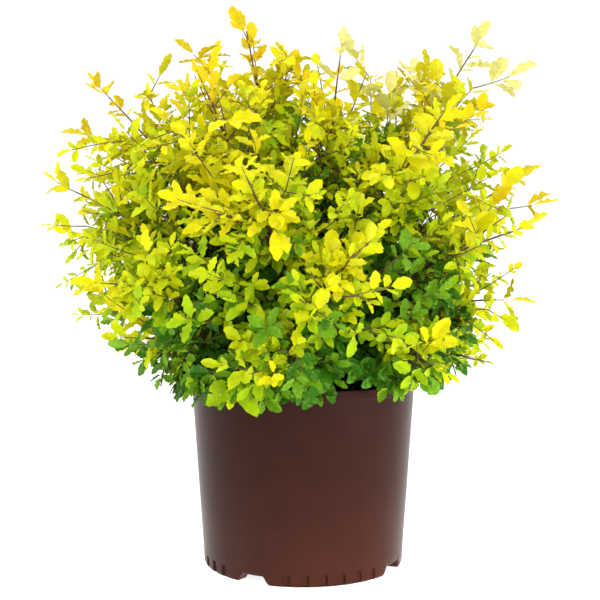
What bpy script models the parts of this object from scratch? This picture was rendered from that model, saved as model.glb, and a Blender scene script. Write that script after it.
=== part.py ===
"""A golden Chinese privet in a round brown nursery pot.

Everything is in metres, +Z up. The pot stands on z = 0 with its axis on the Z axis, and -Y is the side
that is seen from the front. Azimuths run anticlockwise from +X, so 270 degrees is the front.

The shrub is a short trunk with a swollen head, boughs that fan out of that head, and one mass of twigs and
leaves at the end of each bough. Every limb is one smooth curve: its inner part is the bough, and its outer
part is the stem of the mass. Each leaf of these solids stands for a spray of real leaves, so it is larger
than life.
"""

import math

import bmesh
import bpy
import numpy as np
from mathutils.bvhtree import BVHTree

# Pot, a blow-moulded container of 280 mm across the rim
POT_HEIGHT = 0.229
RIM_RADIUS = 0.140
FOOT_RADIUS = 0.124
WALL = 0.0024
RIM_BAND = 0.012
RIM_STEP = 0.0012
RIM_ROUND = 0.0015
FOOT_WIDTH = 0.016
FOOT_ROUND = 0.003
FLOOR_UNDER = 0.0135
FLOOR_TOP = 0.0165
POT_SIDES = 48

# Round the bottom edge, four notches with six flutes between each two. Cutters run on past what they cut
NOTCHES = 4
FIRST_NOTCH = 241.0
NOTCH_HEIGHT = 0.0098
NOTCH_FOOT_WIDTH = 0.045
NOTCH_TOP_WIDTH = 0.026
FLUTES_BETWEEN = 6
FLUTE_SPACING = 10.0
FLUTE_WIDTH = 0.009
FLUTE_HEIGHT = 0.0155
FLUTE_DEPTH = 0.0016
ARCH_POINTS = 5
DRAIN_RADIUS = 0.006
DRAIN_AT = 0.090
DRAIN_SIDES = 8
CUT_PAST = 0.004

# Potting mix, with the gap that touching solids keep
GAP = 0.0003
MIX_TO_WALL = 0.0006
MIX_EDGE = POT_HEIGHT - 0.022
MIX_TOP = POT_HEIGHT - 0.019
MIX_RINGS = (0.085, 0.034)
MIX_LOOSE = 0.0012

# Trunk and its head, the knuckle that the boughs fan out of. The flare lists heights and radii
TRUNK_FLARE = ((0.0, 0.0185), (0.006, 0.0145), (0.016, 0.0115))
TRUNK_SIDES = 14
FLARE_LOBES = 4
FLARE_LOBE_DEPTH = 0.10
HEAD_RADIUS = 0.0195
HEAD_HEIGHT = MIX_TOP + 0.046
HEAD_LATITUDES = (-58, -38, -16, 8, 32, 54, 72)
TRUNK_LEAN = (0.0035, -0.0020)
HEART = np.array((*TRUNK_LEAN, HEAD_HEIGHT))

# Limbs, tier by tier. Each list runs anticlockwise from the tier's first azimuth
TIERS = (
    {
        "name": "skirt",
        "leaf": "leaf_green",
        "azimuths": (20, 80, 140, 200, 260, 320),
        "rises": (-5, -2, -2, 3, -3, -3),
        "reaches": (0.266, 0.255, 0.255, 0.235, 0.235, 0.225),
    },
    {
        "name": "lower",
        "leaf": "leaf_lime",
        "azimuths": (50, 110, 170, 217, 275, 348),
        "rises": (20, 20, 25.5, 17, 18, 14.5),
        "reaches": (0.350, 0.340, 0.372, 0.330, 0.310, 0.290),
    },
    {
        "name": "upper",
        "leaf": "leaf_yellow",
        "azimuths": (15, 75, 135, 197, 257, 325),
        "rises": (37, 40, 42, 34, 36, 27),
        "reaches": (0.405, 0.395, 0.405, 0.388, 0.375, 0.358),
    },
    {
        "name": "top",
        "leaf": "leaf_yellow",
        "azimuths": (2, 48, 115, 176, 234, 310),
        "rises": (61, 60, 66, 52, 58, 50),
        "reaches": (0.476, 0.472, 0.425, 0.450, 0.400, 0.390),
    },
    {
        "name": "spire",
        "leaf": "leaf_gold",
        "azimuths": (200, 290),
        "rises": (79, 72),
        "reaches": (0.446, 0.405),
    },
)

# Shape of a limb. Its bough ends at ENTRY, and the stem of its mass goes on from there
CONTROL_SHARE = 0.55
BOUGH_LIFT = 0.34
ENTRY = 0.40
BOUGH_SIDES = 5
BOUGH_RINGS = 5
BOUGH_ROOT_RADIUS = 0.0026
BOUGH_TIP_RADIUS = 0.0019
STEM_ROOT_RADIUS = 0.0017
STEM_TIP_RADIUS = 0.0009
STEM_SIDES = 4
STEM_RINGS = 4

# Twigs: opposite pairs at nodes of the stem, each pair turned from the one before
TWIG_NODES = (0.07, 0.40)
TWIG_TURN = 97.0
TWIG_ANGLE = 50.0
TWIG_REACH_SHARE = 0.33
TWIG_BEND = 0.35
TWIG_SHORTER = (1.0, 0.75, 0.5)
TWIG_ROOT_RADIUS = 0.0015
TWIG_TIP_RADIUS = 0.0009
TWIG_SIDES = 3
TWIG_RINGS = 3

# Leaves, each of which stands for a spray: one at the end of each stem and twig, and pairs along them.
# Lengths grow from the first value near the trunk to the second far out
LEAF_LENGTHS = (0.064, 0.084)
LENGTHS_FROM = 0.14
LENGTHS_OVER = 0.20
LEADER_LEAF = 0.056
LEAF_WIDTH_SHARE = 0.54
LEAF_THICKNESS = 0.0018
LEAF_KEEL_AT = 0.14
LEAF_WIDEST_AT = 0.45
LEAF_NECK_AT = 0.16
LEAF_SINK = 0.001
LEAF_PAIR_ANGLE = 58.0
LEADER_PAIRS = (0.025, 0.14)
TWIG_PAIRS = (0.70, 0.275)
MOST_LEAVES = 22

# Each try at a leaf turns it a little more and makes it a little smaller
LEAF_TRIES = 16
TRY_SHRINK = 0.02
TRY_TURN = 0.16
FACE_OUT = 0.5
FACE_UP = 0.4
FACE_LOOSE = 0.5
SEED = 8412

# Room that a mass keeps to: its twigs end at BULK_SHARE of its limb's reach, and nothing hangs below the hem
BULK_SHARE = 0.94
CELL_AXIS_AT = 0.72
CELL_MARGIN = 0.0007
LIMB_CLEARANCE = 0.0009
RIM_CLEARANCE = 0.0025
WALL_CLEARANCE = 0.008
MIX_CLEARANCE = 0.004
HEM_HEIGHT = 0.200
HEM_SLOPE = 0.28

# Colours, as linear base colours
BROWN_PLASTIC = (0.072, 0.022, 0.016)
POTTING_MIX = (0.030, 0.018, 0.011)
BARK = (0.120, 0.075, 0.048)
LEAF_COLOURS = {
    "leaf_green": (0.130, 0.300, 0.018),
    "leaf_lime": (0.440, 0.560, 0.014),
    "leaf_yellow": (0.700, 0.640, 0.010),
    "leaf_gold": (0.800, 0.520, 0.010),
}


def clear_scene():
    for thing in list(bpy.data.objects):
        bpy.data.objects.remove(thing)


def material(name, colour, roughness):
    """A Principled material of one plain colour."""
    made = bpy.data.materials.new(name)
    made.use_nodes = True
    shader = made.node_tree.nodes["Principled BSDF"]
    shader.inputs["Base Color"].default_value = (*colour, 1.0)
    shader.inputs["Roughness"].default_value = roughness
    shader.inputs["Metallic"].default_value = 0.0
    return made


def place(name, points, faces, finish, collection=None):
    """A mesh object from points and faces, with its faces turned outwards."""
    mesh = bpy.data.meshes.new(name)
    mesh.from_pydata([tuple(p) for p in points], [], faces)
    work = bmesh.new()
    work.from_mesh(mesh)
    bmesh.ops.recalc_face_normals(work, faces=work.faces)
    work.to_mesh(mesh)
    work.free()
    if finish:
        mesh.materials.append(finish)
    thing = bpy.data.objects.new(name, mesh)
    (collection or bpy.context.scene.collection).objects.link(thing)
    return thing


def shade(thing, angle):
    """Smooth shading with the edges over the given angle kept sharp."""
    thing.data.shade_smooth()
    thing.data.set_sharp_from_angle(angle=math.radians(angle))


def unit(vector):
    return vector / np.linalg.norm(vector)


def heading(azimuth, rise):
    """The unit vector at that azimuth and rise, both in degrees."""
    turn, lift = math.radians(azimuth), math.radians(rise)
    return np.array((math.cos(turn) * math.cos(lift), math.sin(turn) * math.cos(lift), math.sin(lift)))


def square_to(along, hint):
    """The unit vector nearest to hint that is square to along."""
    return unit(hint - along * np.dot(hint, along))


def turned(vector, axis, degrees):
    """vector turned about a unit axis, by Rodrigues' formula."""
    a = math.radians(degrees)
    return (
        vector * math.cos(a)
        + np.cross(axis, vector) * math.sin(a)
        + axis * np.dot(axis, vector) * (1 - math.cos(a))
    )


def turned_profile(profile, sides):
    """Points and faces of a closed profile of (radius, height) pairs turned about Z. Pairs on the axis
    become one point each."""
    points, rows = [], []
    for radius, height in profile:
        if radius == 0:
            rows.append([len(points)] * sides)
            points.append((0.0, 0.0, height))
            continue
        rows.append(list(range(len(points), len(points) + sides)))
        for k in range(sides):
            a = 2 * math.pi * k / sides
            points.append((radius * math.cos(a), radius * math.sin(a), height))
    faces = []
    for low, high in zip(rows, rows[1:]):
        for k in range(sides):
            corners = [low[k], low[(k + 1) % sides], high[(k + 1) % sides], high[k]]
            faces.append(list(dict.fromkeys(corners)))
    return points, [f for f in faces if len(f) > 2]


def tube(path, radii, sides):
    """Points and faces of a capped tube along a path, with a ring of the given sides at each point."""
    path = np.asarray(path)
    ahead = np.gradient(path, axis=0)
    hint = np.array((0.31, 0.17, 1.0))
    if abs(np.dot(unit(ahead[0]), unit(hint))) > 0.8:
        hint = np.array((1.0, 0.2, 0.1))
    points = []
    for centre, along, radius in zip(path, ahead, radii):
        along = unit(along)
        hint = square_to(along, hint)
        other = np.cross(along, hint)
        for k in range(sides):
            a = 2 * math.pi * k / sides
            points.append(centre + radius * (math.cos(a) * hint + math.sin(a) * other))
    faces = [list(range(sides))[::-1]]
    for ring in range(len(path) - 1):
        first = ring * sides
        for k in range(sides):
            after = (k + 1) % sides
            faces.append([first + k, first + after, first + sides + after, first + sides + k])
    last = (len(path) - 1) * sides
    faces.append([last + k for k in range(sides)])
    return points, faces


def wall_radius(height):
    """Outer radius of the pot's wall at a height: it widens evenly from the foot to the rim band."""
    top = RIM_RADIUS - RIM_STEP
    return FOOT_RADIUS + (top - FOOT_RADIUS) * height / (POT_HEIGHT - RIM_BAND)


def pot_profile():
    """The pot's section, from the middle of its underside out, up and back in to the middle of its floor."""
    band = POT_HEIGHT - RIM_BAND
    foot_inner = FOOT_RADIUS - FOOT_WIDTH
    return [
        (0.0, FLOOR_UNDER),
        (foot_inner - FOOT_ROUND, FLOOR_UNDER),
        (foot_inner, 0.0),
        (FOOT_RADIUS - FOOT_ROUND, 0.0),
        (wall_radius(FOOT_ROUND), FOOT_ROUND),
        (wall_radius(band), band),
        (RIM_RADIUS, band + RIM_STEP),
        (RIM_RADIUS, POT_HEIGHT - RIM_ROUND),
        (RIM_RADIUS - RIM_ROUND, POT_HEIGHT),
        (RIM_RADIUS - 2 * RIM_ROUND, POT_HEIGHT),
        (wall_radius(band) - WALL, band),
        (wall_radius(FLOOR_TOP) - WALL, FLOOR_TOP),
        (0.0, FLOOR_TOP),
    ]


def prism(name, near_points, far_points, collection):
    """A closed prism between two outlines with the same number of points."""
    count = len(near_points)
    faces = [list(range(count)), list(range(count, 2 * count))]
    faces += [[k, (k + 1) % count, count + (k + 1) % count, count + k] for k in range(count)]
    place(name, near_points + far_points, faces, None, collection)


def radial_cutter(name, outline, near, azimuth, collection):
    """A prism whose outline of (sideways, height) pairs runs out along an azimuth from near."""
    out, side = heading(azimuth, 0), heading(azimuth + 90, 0)
    far = RIM_RADIUS + CUT_PAST
    ends = [[out * reach + side * s + np.array((0, 0, h)) for s, h in outline] for reach in (near, far)]
    prism(name, *ends, collection)


def notch_outline():
    foot, top = NOTCH_FOOT_WIDTH / 2, NOTCH_TOP_WIDTH / 2
    below = [(-foot, -CUT_PAST), (foot, -CUT_PAST)]
    return below + [(foot, 0.0), (top, NOTCH_HEIGHT), (-top, NOTCH_HEIGHT), (-foot, 0.0)]


def flute_outline():
    """An arch: two upright sides under a half circle."""
    half = FLUTE_WIDTH / 2
    turns = np.linspace(0, math.pi, ARCH_POINTS)
    arch = [(half * math.cos(a), FLUTE_HEIGHT - half + half * math.sin(a)) for a in turns]
    return [(-half, -CUT_PAST), (half, -CUT_PAST), *arch]


def flute_azimuths(notch):
    """Azimuths of the flutes half way between a notch and the next."""
    middle = notch + 180 / NOTCHES
    return [middle + (n - (FLUTES_BETWEEN - 1) / 2) * FLUTE_SPACING for n in range(FLUTES_BETWEEN)]


def drain_cutter(azimuth, collection):
    """An upright prism through the pot's floor."""
    centre = heading(azimuth, 0) * DRAIN_AT
    ring = [heading(360 * k / DRAIN_SIDES, 0) * DRAIN_RADIUS + centre for k in range(DRAIN_SIDES)]
    heights = (FLOOR_UNDER - CUT_PAST, FLOOR_TOP + CUT_PAST)
    prism("drain", *[[point + np.array((0, 0, h)) for point in ring] for h in heights], collection)


def apply_modifiers(thing):
    """The evaluated mesh takes the place of the mesh and its modifiers."""
    graph = bpy.context.evaluated_depsgraph_get()
    made = bpy.data.meshes.new_from_object(thing.evaluated_get(graph))
    thing.modifiers.clear()
    thing.data = made


def boolean(thing, operation, collection, solver):
    """One Boolean with all of a collection's objects, applied, after which those objects are removed."""
    cut = thing.modifiers.new(operation, "BOOLEAN")
    cut.operation = operation
    cut.operand_type = "COLLECTION"
    cut.collection = collection
    cut.solver = solver
    apply_modifiers(thing)
    for helper in list(collection.objects):
        bpy.data.objects.remove(helper)
    bpy.data.collections.remove(collection)


def helper_collection(name):
    made = bpy.data.collections.new(name)
    bpy.context.scene.collection.children.link(made)
    return made


def make_pot(finish):
    pot = place("pot", *turned_profile(pot_profile(), POT_SIDES), finish)
    cutters = helper_collection("pot_cutters")
    for n in range(NOTCHES):
        notch = FIRST_NOTCH + n * 360 / NOTCHES
        radial_cutter("notch", notch_outline(), FOOT_RADIUS - FOOT_WIDTH - 2 * CUT_PAST, notch, cutters)
        drain_cutter(notch, cutters)
        for azimuth in flute_azimuths(notch):
            near = wall_radius(FLUTE_HEIGHT / 2) - FLUTE_DEPTH
            radial_cutter("flute", flute_outline(), near, azimuth, cutters)
    boolean(pot, "DIFFERENCE", cutters, "EXACT")
    shade(pot, 35)


def make_potting_mix(finish):
    """The fill of the pot. Its side follows the wall, and its top is flat by the trunk, loose elsewhere."""
    low = FLOOR_TOP + GAP
    profile = [(0.0, low)]
    profile += [(wall_radius(height) - WALL - MIX_TO_WALL, height) for height in (low, MIX_EDGE)]
    profile += [(radius, MIX_TOP) for radius in (*MIX_RINGS, 0.0)]
    points, faces = turned_profile(profile, POT_SIDES)
    points = np.array(points)
    loose = np.isclose(np.hypot(points[:, 0], points[:, 1]), MIX_RINGS[0])
    points[loose, 2] += np.random.default_rng(SEED).uniform(-MIX_LOOSE, MIX_LOOSE, loose.sum())
    mix = place("potting_mix", points, faces, finish)
    shade(mix, 35)


def trunk_levels():
    """Heights above the trunk's foot and radii: the flare and waist, and then the round head."""
    rise = HEAD_HEIGHT - MIX_TOP - GAP
    head = [math.radians(latitude) for latitude in HEAD_LATITUDES]
    return [*TRUNK_FLARE, *((rise + HEAD_RADIUS * math.sin(a), HEAD_RADIUS * math.cos(a)) for a in head)]


def make_trunk(finish):
    """Rings along an axis that leans evenly up to the heart, lobed at the foot like the spread of roots."""
    foot = np.array((0, 0, MIX_TOP + GAP))
    levels = trunk_levels()
    points = []
    for height, radius in levels:
        lean = min(1.0, height / (HEART - foot)[2])
        centre = foot + lean * (HEART - foot) * (1, 1, 0) + (0, 0, height)
        lobes = FLARE_LOBE_DEPTH * max(0.0, 1 - height / TRUNK_FLARE[-1][0])
        for k in range(TRUNK_SIDES):
            azimuth = 360 * k / TRUNK_SIDES
            wide = radius * (1 + lobes * math.cos(math.radians(FLARE_LOBES * azimuth + 34)))
            points.append(centre + wide * heading(azimuth, 0))
    faces = [list(range(TRUNK_SIDES))]
    for first in range(0, (len(levels) - 1) * TRUNK_SIDES, TRUNK_SIDES):
        for k in range(TRUNK_SIDES):
            after = (k + 1) % TRUNK_SIDES
            faces.append([first + k, first + after, first + TRUNK_SIDES + after, first + TRUNK_SIDES + k])
    last = len(points) - TRUNK_SIDES
    faces += [[last + k, last + (k + 1) % TRUNK_SIDES, len(points)] for k in range(TRUNK_SIDES)]
    points.append(HEART + np.array((0, 0, HEAD_RADIUS)))
    trunk = place("trunk", points, faces, finish)
    shade(trunk, 60)


class Limb:
    """One smooth curve from the head of the trunk to the tip of a mass: a quadratic Bezier curve whose
    middle point is lifted, so that the limb leaves the head steeply and then arches out."""

    def __init__(self, tier, number, azimuth, rise, reach):
        self.name = f"{tier['name']}_{number}"
        self.leaf = tier["leaf"]
        self.reach = reach
        out = heading(azimuth, rise)
        lifted = unit(out + np.array((0, 0, BOUGH_LIFT * math.cos(math.radians(rise)))))
        self.start = HEART + lifted * (HEAD_RADIUS + GAP)
        self.middle = HEART + lifted * reach * CONTROL_SHARE
        self.end = HEART + out * reach
        self.axis = unit(self.at(CELL_AXIS_AT) - HEART)

    def at(self, share):
        s = np.asarray(share, float)[..., None]
        return (1 - s) ** 2 * self.start + 2 * s * (1 - s) * self.middle + s * s * self.end

    def ahead(self, share):
        s = np.asarray(share, float)[..., None]
        slope = (1 - s) * (self.middle - self.start) + s * (self.end - self.middle)
        return slope / np.linalg.norm(slope, axis=-1, keepdims=True)

    def stem_start(self):
        """Just past the end of the bough. A share of the curve is a little shorter than that of the reach."""
        return ENTRY + 1.3 * GAP / self.reach

    def stem_end(self):
        """Where the leaf at the limb's end is rooted."""
        return 1 - LEADER_LEAF / self.reach


def all_limbs():
    limbs = []
    for tier in TIERS:
        rows = zip(tier["azimuths"], tier["rises"], tier["reaches"])
        limbs += [Limb(tier, n + 1, *row) for n, row in enumerate(rows)]
    return limbs


def make_bough(limb, finish):
    shares = np.linspace(0, ENTRY, BOUGH_RINGS)
    radii = np.linspace(BOUGH_ROOT_RADIUS, BOUGH_TIP_RADIUS, BOUGH_RINGS)
    bough = place("bough_" + limb.name, *tube(limb.at(shares), radii, BOUGH_SIDES), finish)
    shade(bough, 60)


def stem_line(limb):
    """Path and radii of a mass's stem, which stops just inside the leaf at its end."""
    shares = np.linspace(limb.stem_start(), limb.stem_end() + LEAF_SINK, STEM_RINGS)
    return limb.at(shares), np.linspace(STEM_ROOT_RADIUS, STEM_TIP_RADIUS, STEM_RINGS)


def twig_line(root, along, bend_to, length):
    """Path and radii of a twig that leaves along and bends evenly towards bend_to."""
    s = np.linspace(0, 1, TWIG_RINGS)[:, None]
    path = root + length * (s * along + TWIG_BEND * s * s * (bend_to - along))
    return path, np.linspace(TWIG_ROOT_RADIUS, TWIG_TIP_RADIUS, TWIG_RINGS)


def point_on(path, share):
    """The point at a share of the way along a path of even steps."""
    step = min(int(share * (len(path) - 1)), len(path) - 2)
    return path[step] + (share * (len(path) - 1) - step) * (path[step + 1] - path[step])


class Space:
    """The room that one mass may fill: the cone of directions from the heart that lie nearest to its own
    limb, outside the pot and the mix, and clear of every bough."""

    def __init__(self, limb, limbs):
        others = [other.axis for other in limbs if other is not limb]
        walls = np.array([limb.axis - other for other in others])
        self.walls = walls / np.linalg.norm(walls, axis=1, keepdims=True)
        shares = np.linspace(0, ENTRY, 24)
        self.boughs = np.concatenate([other.at(shares) for other in limbs])

    def holds(self, points, thickness, most_far):
        from_heart = points - HEART
        if (from_heart @ self.walls.T).min() < CELL_MARGIN + thickness:
            return False
        if np.linalg.norm(from_heart, axis=1).max() > most_far:
            return False
        out, height = np.hypot(points[:, 0], points[:, 1]), points[:, 2]
        over_wall = (out > RIM_RADIUS - WALL_CLEARANCE) & (out < RIM_RADIUS + RIM_CLEARANCE)
        in_pot = over_wall & (height < POT_HEIGHT + RIM_CLEARANCE)
        in_mix = (out < RIM_RADIUS) & (height < MIX_TOP + MIX_CLEARANCE)
        under_hem = height < HEM_HEIGHT + HEM_SLOPE * np.maximum(0, out - RIM_RADIUS)
        if (in_pot | in_mix | under_hem).any():
            return False
        to_boughs = np.linalg.norm(points[:, None] - self.boughs[None], axis=2)
        return to_boughs.min() > BOUGH_ROOT_RADIUS + LIMB_CLEARANCE + thickness


def leaf_points(root, along, face, length, u, v):
    """Points of a flat leaf at shares u of its length and v of its half width."""
    side = np.cross(face, along)
    half = LEAF_WIDTH_SHARE / 2 * np.minimum(u / LEAF_WIDEST_AT, (1 - u) / (1 - LEAF_WIDEST_AT))
    return root + length * (np.outer(u, along) + np.outer(half * v, side))


def leaf_samples(leaf):
    """A net of points over a leaf, for testing where it may go."""
    u, v = np.meshgrid(np.linspace(0.05, 1, 10), np.linspace(-1, 1, 5))
    return leaf_points(*leaf, u.ravel(), v.ravel())


def leaf_sheet(leaf):
    """The leaf past its neck as a tree of flat faces, for testing what it would cross."""
    u = np.array((LEAF_NECK_AT, LEAF_NECK_AT, LEAF_WIDEST_AT, LEAF_WIDEST_AT, 1.0))
    points = leaf_points(*leaf, u, np.array((-1, 1, 1, -1, 0)))
    return BVHTree.FromPolygons([tuple(p) for p in points], [(0, 1, 2, 3), (3, 2, 4)])


def tube_tree(path, radii):
    """A stem or twig as a tree of flat faces, a little thicker than it is."""
    points, faces = tube(path, radii + LIMB_CLEARANCE, TWIG_SIDES)
    return BVHTree.FromPolygons([tuple(p) for p in points], faces)


def leaf_blade(root, along, face, length):
    """A leaf of six faces: flat underneath, with four faces that rise from its edges to a low point near its
    root. The root itself lies in the middle of its twig."""
    u = np.array((0.0, LEAF_WIDEST_AT, 1.0, LEAF_WIDEST_AT))
    points = list(leaf_points(root, along, face, length, u, np.array((0, -1, 0, 1))))
    points.append(root + along * LEAF_KEEL_AT * length + face * LEAF_THICKNESS)
    faces = [[k, (k + 1) % 4, 4] for k in range(4)]
    return points, faces + [[0, 3, 1], [1, 3, 2]]


class Growth:
    """The twigs and leaves of one mass, worked out from its limb by a seeded rule: twigs first, as
    (path, radii), and then leaves, as (root, along, face, length), wherever one fits and crosses nothing."""

    def __init__(self, limb, limbs):
        self.draw = np.random.default_rng([SEED, *limb.name.encode()])
        self.limb = limb
        self.space = Space(limb, limbs)
        self.bulk = limb.reach * BULK_SHARE
        self.twigs = []
        self.leaves = []
        self.obstacles = [tube_tree(*stem_line(limb))]
        for n, node in enumerate(TWIG_NODES):
            self.add_twigs(n, node)
        self.add_leader_leaves()
        self.add_twig_leaves()

    def leaf_length(self, root):
        """Full length of a leaf that is rooted there."""
        grown = (np.linalg.norm(root - HEART) - LENGTHS_FROM) / LENGTHS_OVER
        return np.interp(grown, (0, 1), LEAF_LENGTHS) * self.draw.uniform(0.92, 1.08)

    def add_leader_leaves(self):
        """The leaf that ends the limb, and pairs behind it."""
        limb, last = self.limb, self.limb.stem_end()
        root = limb.at(last)
        to_tip = limb.end - root
        self.add_leaf(root, unit(to_tip), np.linalg.norm(to_tip), limb.reach)
        for share in LEADER_PAIRS:
            root = limb.at(last - share)
            self.add_pair(root, limb.ahead(last - share), LEAF_LENGTHS[0], limb.reach)

    def add_twig_leaves(self):
        """The leaf that ends each twig, and then pairs along the twigs, the outer ones first."""
        for path, _ in self.twigs:
            along = unit(path[-1] - path[-2])
            self.add_leaf(path[-1] - along * LEAF_SINK, along, self.leaf_length(path[0]), self.bulk)
        for share in TWIG_PAIRS:
            for path, _ in self.twigs:
                along = unit(path[-1] - path[-2])
                self.add_pair(point_on(path, share), along, self.leaf_length(path[0]), self.bulk)

    def add_twigs(self, n, node):
        """Two opposite twigs at a node of the stem, shortened or left out where they don't fit."""
        start = self.limb.stem_start()
        share = start + (1 - start) * node
        root, along = self.limb.at(share), self.limb.ahead(share)
        out, far = unit(root - HEART), np.linalg.norm(root - HEART)
        across = turned(square_to(along, np.array((0.2, 0.1, 1.0))), along, 45 + n * TWIG_TURN)
        across = turned(across, along, self.draw.normal(0, 9))
        for sense in (1, -1):
            way = turned(along, np.cross(along, across), sense * (TWIG_ANGLE + self.draw.normal(0, 5)))
            full = far * TWIG_REACH_SHARE * self.draw.uniform(0.85, 1.15)
            for shorter in TWIG_SHORTER:
                path, radii = twig_line(root, way, out, full * shorter)
                if self.space.holds(path[1:], TWIG_ROOT_RADIUS, self.bulk):
                    self.twigs.append((path, radii))
                    self.obstacles.append(tube_tree(path, radii))
                    break

    def add_leaf(self, root, along, full, most_far):
        """A leaf that looks outwards and up, loosely, or none where no try at it fits."""
        if len(self.leaves) >= MOST_LEAVES:
            return
        look = FACE_OUT * unit(root - HEART) + np.array((0, 0, FACE_UP))
        for n in range(LEAF_TRIES):
            way = unit(along + self.draw.normal(0, TRY_TURN * n ** 0.5, 3))
            face = square_to(way, look + self.draw.normal(0, FACE_LOOSE, 3))
            leaf = (root, way, face, full * (1 - TRY_SHRINK * n))
            if not self.space.holds(leaf_samples(leaf), LEAF_THICKNESS, most_far):
                continue
            sheet = leaf_sheet(leaf)
            if any(sheet.overlap(other) for other in self.obstacles):
                continue
            self.obstacles.append(sheet)
            self.leaves.append(leaf)
            return

    def add_pair(self, root, along, full, most_far):
        """Two leaves opposite each other, at an even angle to their twig."""
        across = square_to(along, self.draw.normal(0, 1, 3))
        for sense in (1, -1):
            way = turned(along, np.cross(along, across), sense * LEAF_PAIR_ANGLE)
            self.add_leaf(root, way, full, most_far)


def keep_largest_shell(thing):
    """Drops every loose scrap, and every inner shell, which fills the hollow that it bounds."""
    work = bmesh.new()
    work.from_mesh(thing.data)
    left = set(work.faces)
    shells = []
    while left:
        front, shell = [left.pop()], []
        while front:
            face = front.pop()
            shell.append(face)
            for edge in face.edges:
                for other in edge.link_faces:
                    if other in left:
                        left.discard(other)
                        front.append(other)
        shells.append(shell)
    shells.sort(key=lambda shell: -sum(face.calc_area() for face in shell))
    for shell in shells[1:]:
        bmesh.ops.delete(work, geom=shell, context="FACES")
    loose = [vert for vert in work.verts if not vert.link_faces]
    bmesh.ops.delete(work, geom=loose, context="VERTS")
    work.to_mesh(thing.data)
    work.free()


def make_mass(limb, limbs, finish):
    """One mass: its stem, with its twigs and leaves fused on by one Boolean union."""
    mass = place("foliage_" + limb.name, *tube(*stem_line(limb), STEM_SIDES), finish)
    pieces = helper_collection("pieces_" + limb.name)
    growth = Growth(limb, limbs)
    for path, radii in growth.twigs:
        place("twig", *tube(path, radii, TWIG_SIDES), finish, pieces)
    for leaf in growth.leaves:
        place("leaf", *leaf_blade(*leaf), finish, pieces)
    boolean(mass, "UNION", pieces, "MANIFOLD")
    keep_largest_shell(mass)


def main():
    clear_scene()
    plastic = material("brown_plastic", BROWN_PLASTIC, 0.42)
    mix = material("potting_mix", POTTING_MIX, 0.95)
    bark = material("bark", BARK, 0.8)
    leaves = {name: material(name, colour, 0.45) for name, colour in LEAF_COLOURS.items()}
    make_pot(plastic)
    make_potting_mix(mix)
    make_trunk(bark)
    limbs = all_limbs()
    for limb in limbs:
        make_bough(limb, bark)
        make_mass(limb, limbs, leaves[limb.leaf])


main()
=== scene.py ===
"""A golden Chinese privet in a round brown nursery pot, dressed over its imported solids.

Everything is in metres, +Z up, in the frame of the solids. Azimuths run anticlockwise from +X, so 270
degrees is the front. The limbs, twigs and large leaves of the solids are grown here again by the same rule,
and each large leaf becomes a spray: a fine twig with small leaves in opposite pairs.
"""

import math

import bpy
import numpy as np
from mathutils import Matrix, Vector
from mathutils.bvhtree import BVHTree


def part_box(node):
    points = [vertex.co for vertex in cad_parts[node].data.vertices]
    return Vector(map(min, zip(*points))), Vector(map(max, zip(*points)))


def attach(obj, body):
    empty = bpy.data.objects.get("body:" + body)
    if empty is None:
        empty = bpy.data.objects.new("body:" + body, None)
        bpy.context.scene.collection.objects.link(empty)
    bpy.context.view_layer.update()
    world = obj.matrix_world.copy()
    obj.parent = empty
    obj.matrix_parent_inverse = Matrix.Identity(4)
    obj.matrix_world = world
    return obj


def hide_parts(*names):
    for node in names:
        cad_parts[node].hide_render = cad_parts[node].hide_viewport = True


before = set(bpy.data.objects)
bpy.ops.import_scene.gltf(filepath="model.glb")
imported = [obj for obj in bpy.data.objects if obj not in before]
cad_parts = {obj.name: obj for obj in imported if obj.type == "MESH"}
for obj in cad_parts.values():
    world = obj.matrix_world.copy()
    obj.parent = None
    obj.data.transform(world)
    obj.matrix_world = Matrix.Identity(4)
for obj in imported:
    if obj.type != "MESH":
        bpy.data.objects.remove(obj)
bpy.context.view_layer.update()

BODY = "root"
SEED = 8412

# Pot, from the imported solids: its foot, wall and rim band
POT_LOW, POT_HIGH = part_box("pot")
POT_HEIGHT = POT_HIGH[2] - POT_LOW[2]
RIM_RADIUS = (POT_HIGH[0] - POT_LOW[0]) / 2
FOOT_RADIUS = RIM_RADIUS - 0.016
WALL = 0.0024
RIM_BAND = 0.012
RIM_STEP = 0.0012
RIM_ROUND = 0.0015
FOOT_WIDTH = 0.016
FOOT_ROUND = 0.003
FLOOR_UNDER = 0.0135
FLOOR_TOP = 0.0165
POT_COLUMNS = 900

# Round the bottom edge, four notches with six flutes between each two
NOTCHES = 4
FIRST_NOTCH = 241.0
NOTCH_HEIGHT = 0.0098
NOTCH_FOOT_WIDTH = 0.045
NOTCH_TOP_WIDTH = 0.026
FLUTES_BETWEEN = 6
FLUTE_SPACING = 10.0
FLUTE_WIDTH = 0.009
FLUTE_HEIGHT = 0.0155
FLUTE_DEPTH = 0.0030
DRAIN_RADIUS = 0.006
DRAIN_AT = 0.090
DRAIN_SIDES = 24

# Potting mix
GAP = 0.0003
MIX_TO_WALL = 0.0006
MIX_EDGE = POT_HEIGHT - 0.022
MIX_TOP = POT_HEIGHT - 0.019
MIX_LOOSE = 0.0016
CHIPS = 900
GRAINS = 260

# Trunk and its head, the knuckle that the boughs fan out of. The flare lists heights and radii
TRUNK_FLARE = ((0.0, 0.0185), (0.006, 0.0145), (0.016, 0.0115))
FLARE_LOBES = 4
FLARE_LOBE_DEPTH = 0.10
HEAD_RADIUS = 0.0195
HEAD_HEIGHT = MIX_TOP + 0.046
TRUNK_LEAN = (0.0035, -0.0020)
HEART = np.array((*TRUNK_LEAN, HEAD_HEIGHT))

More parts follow.
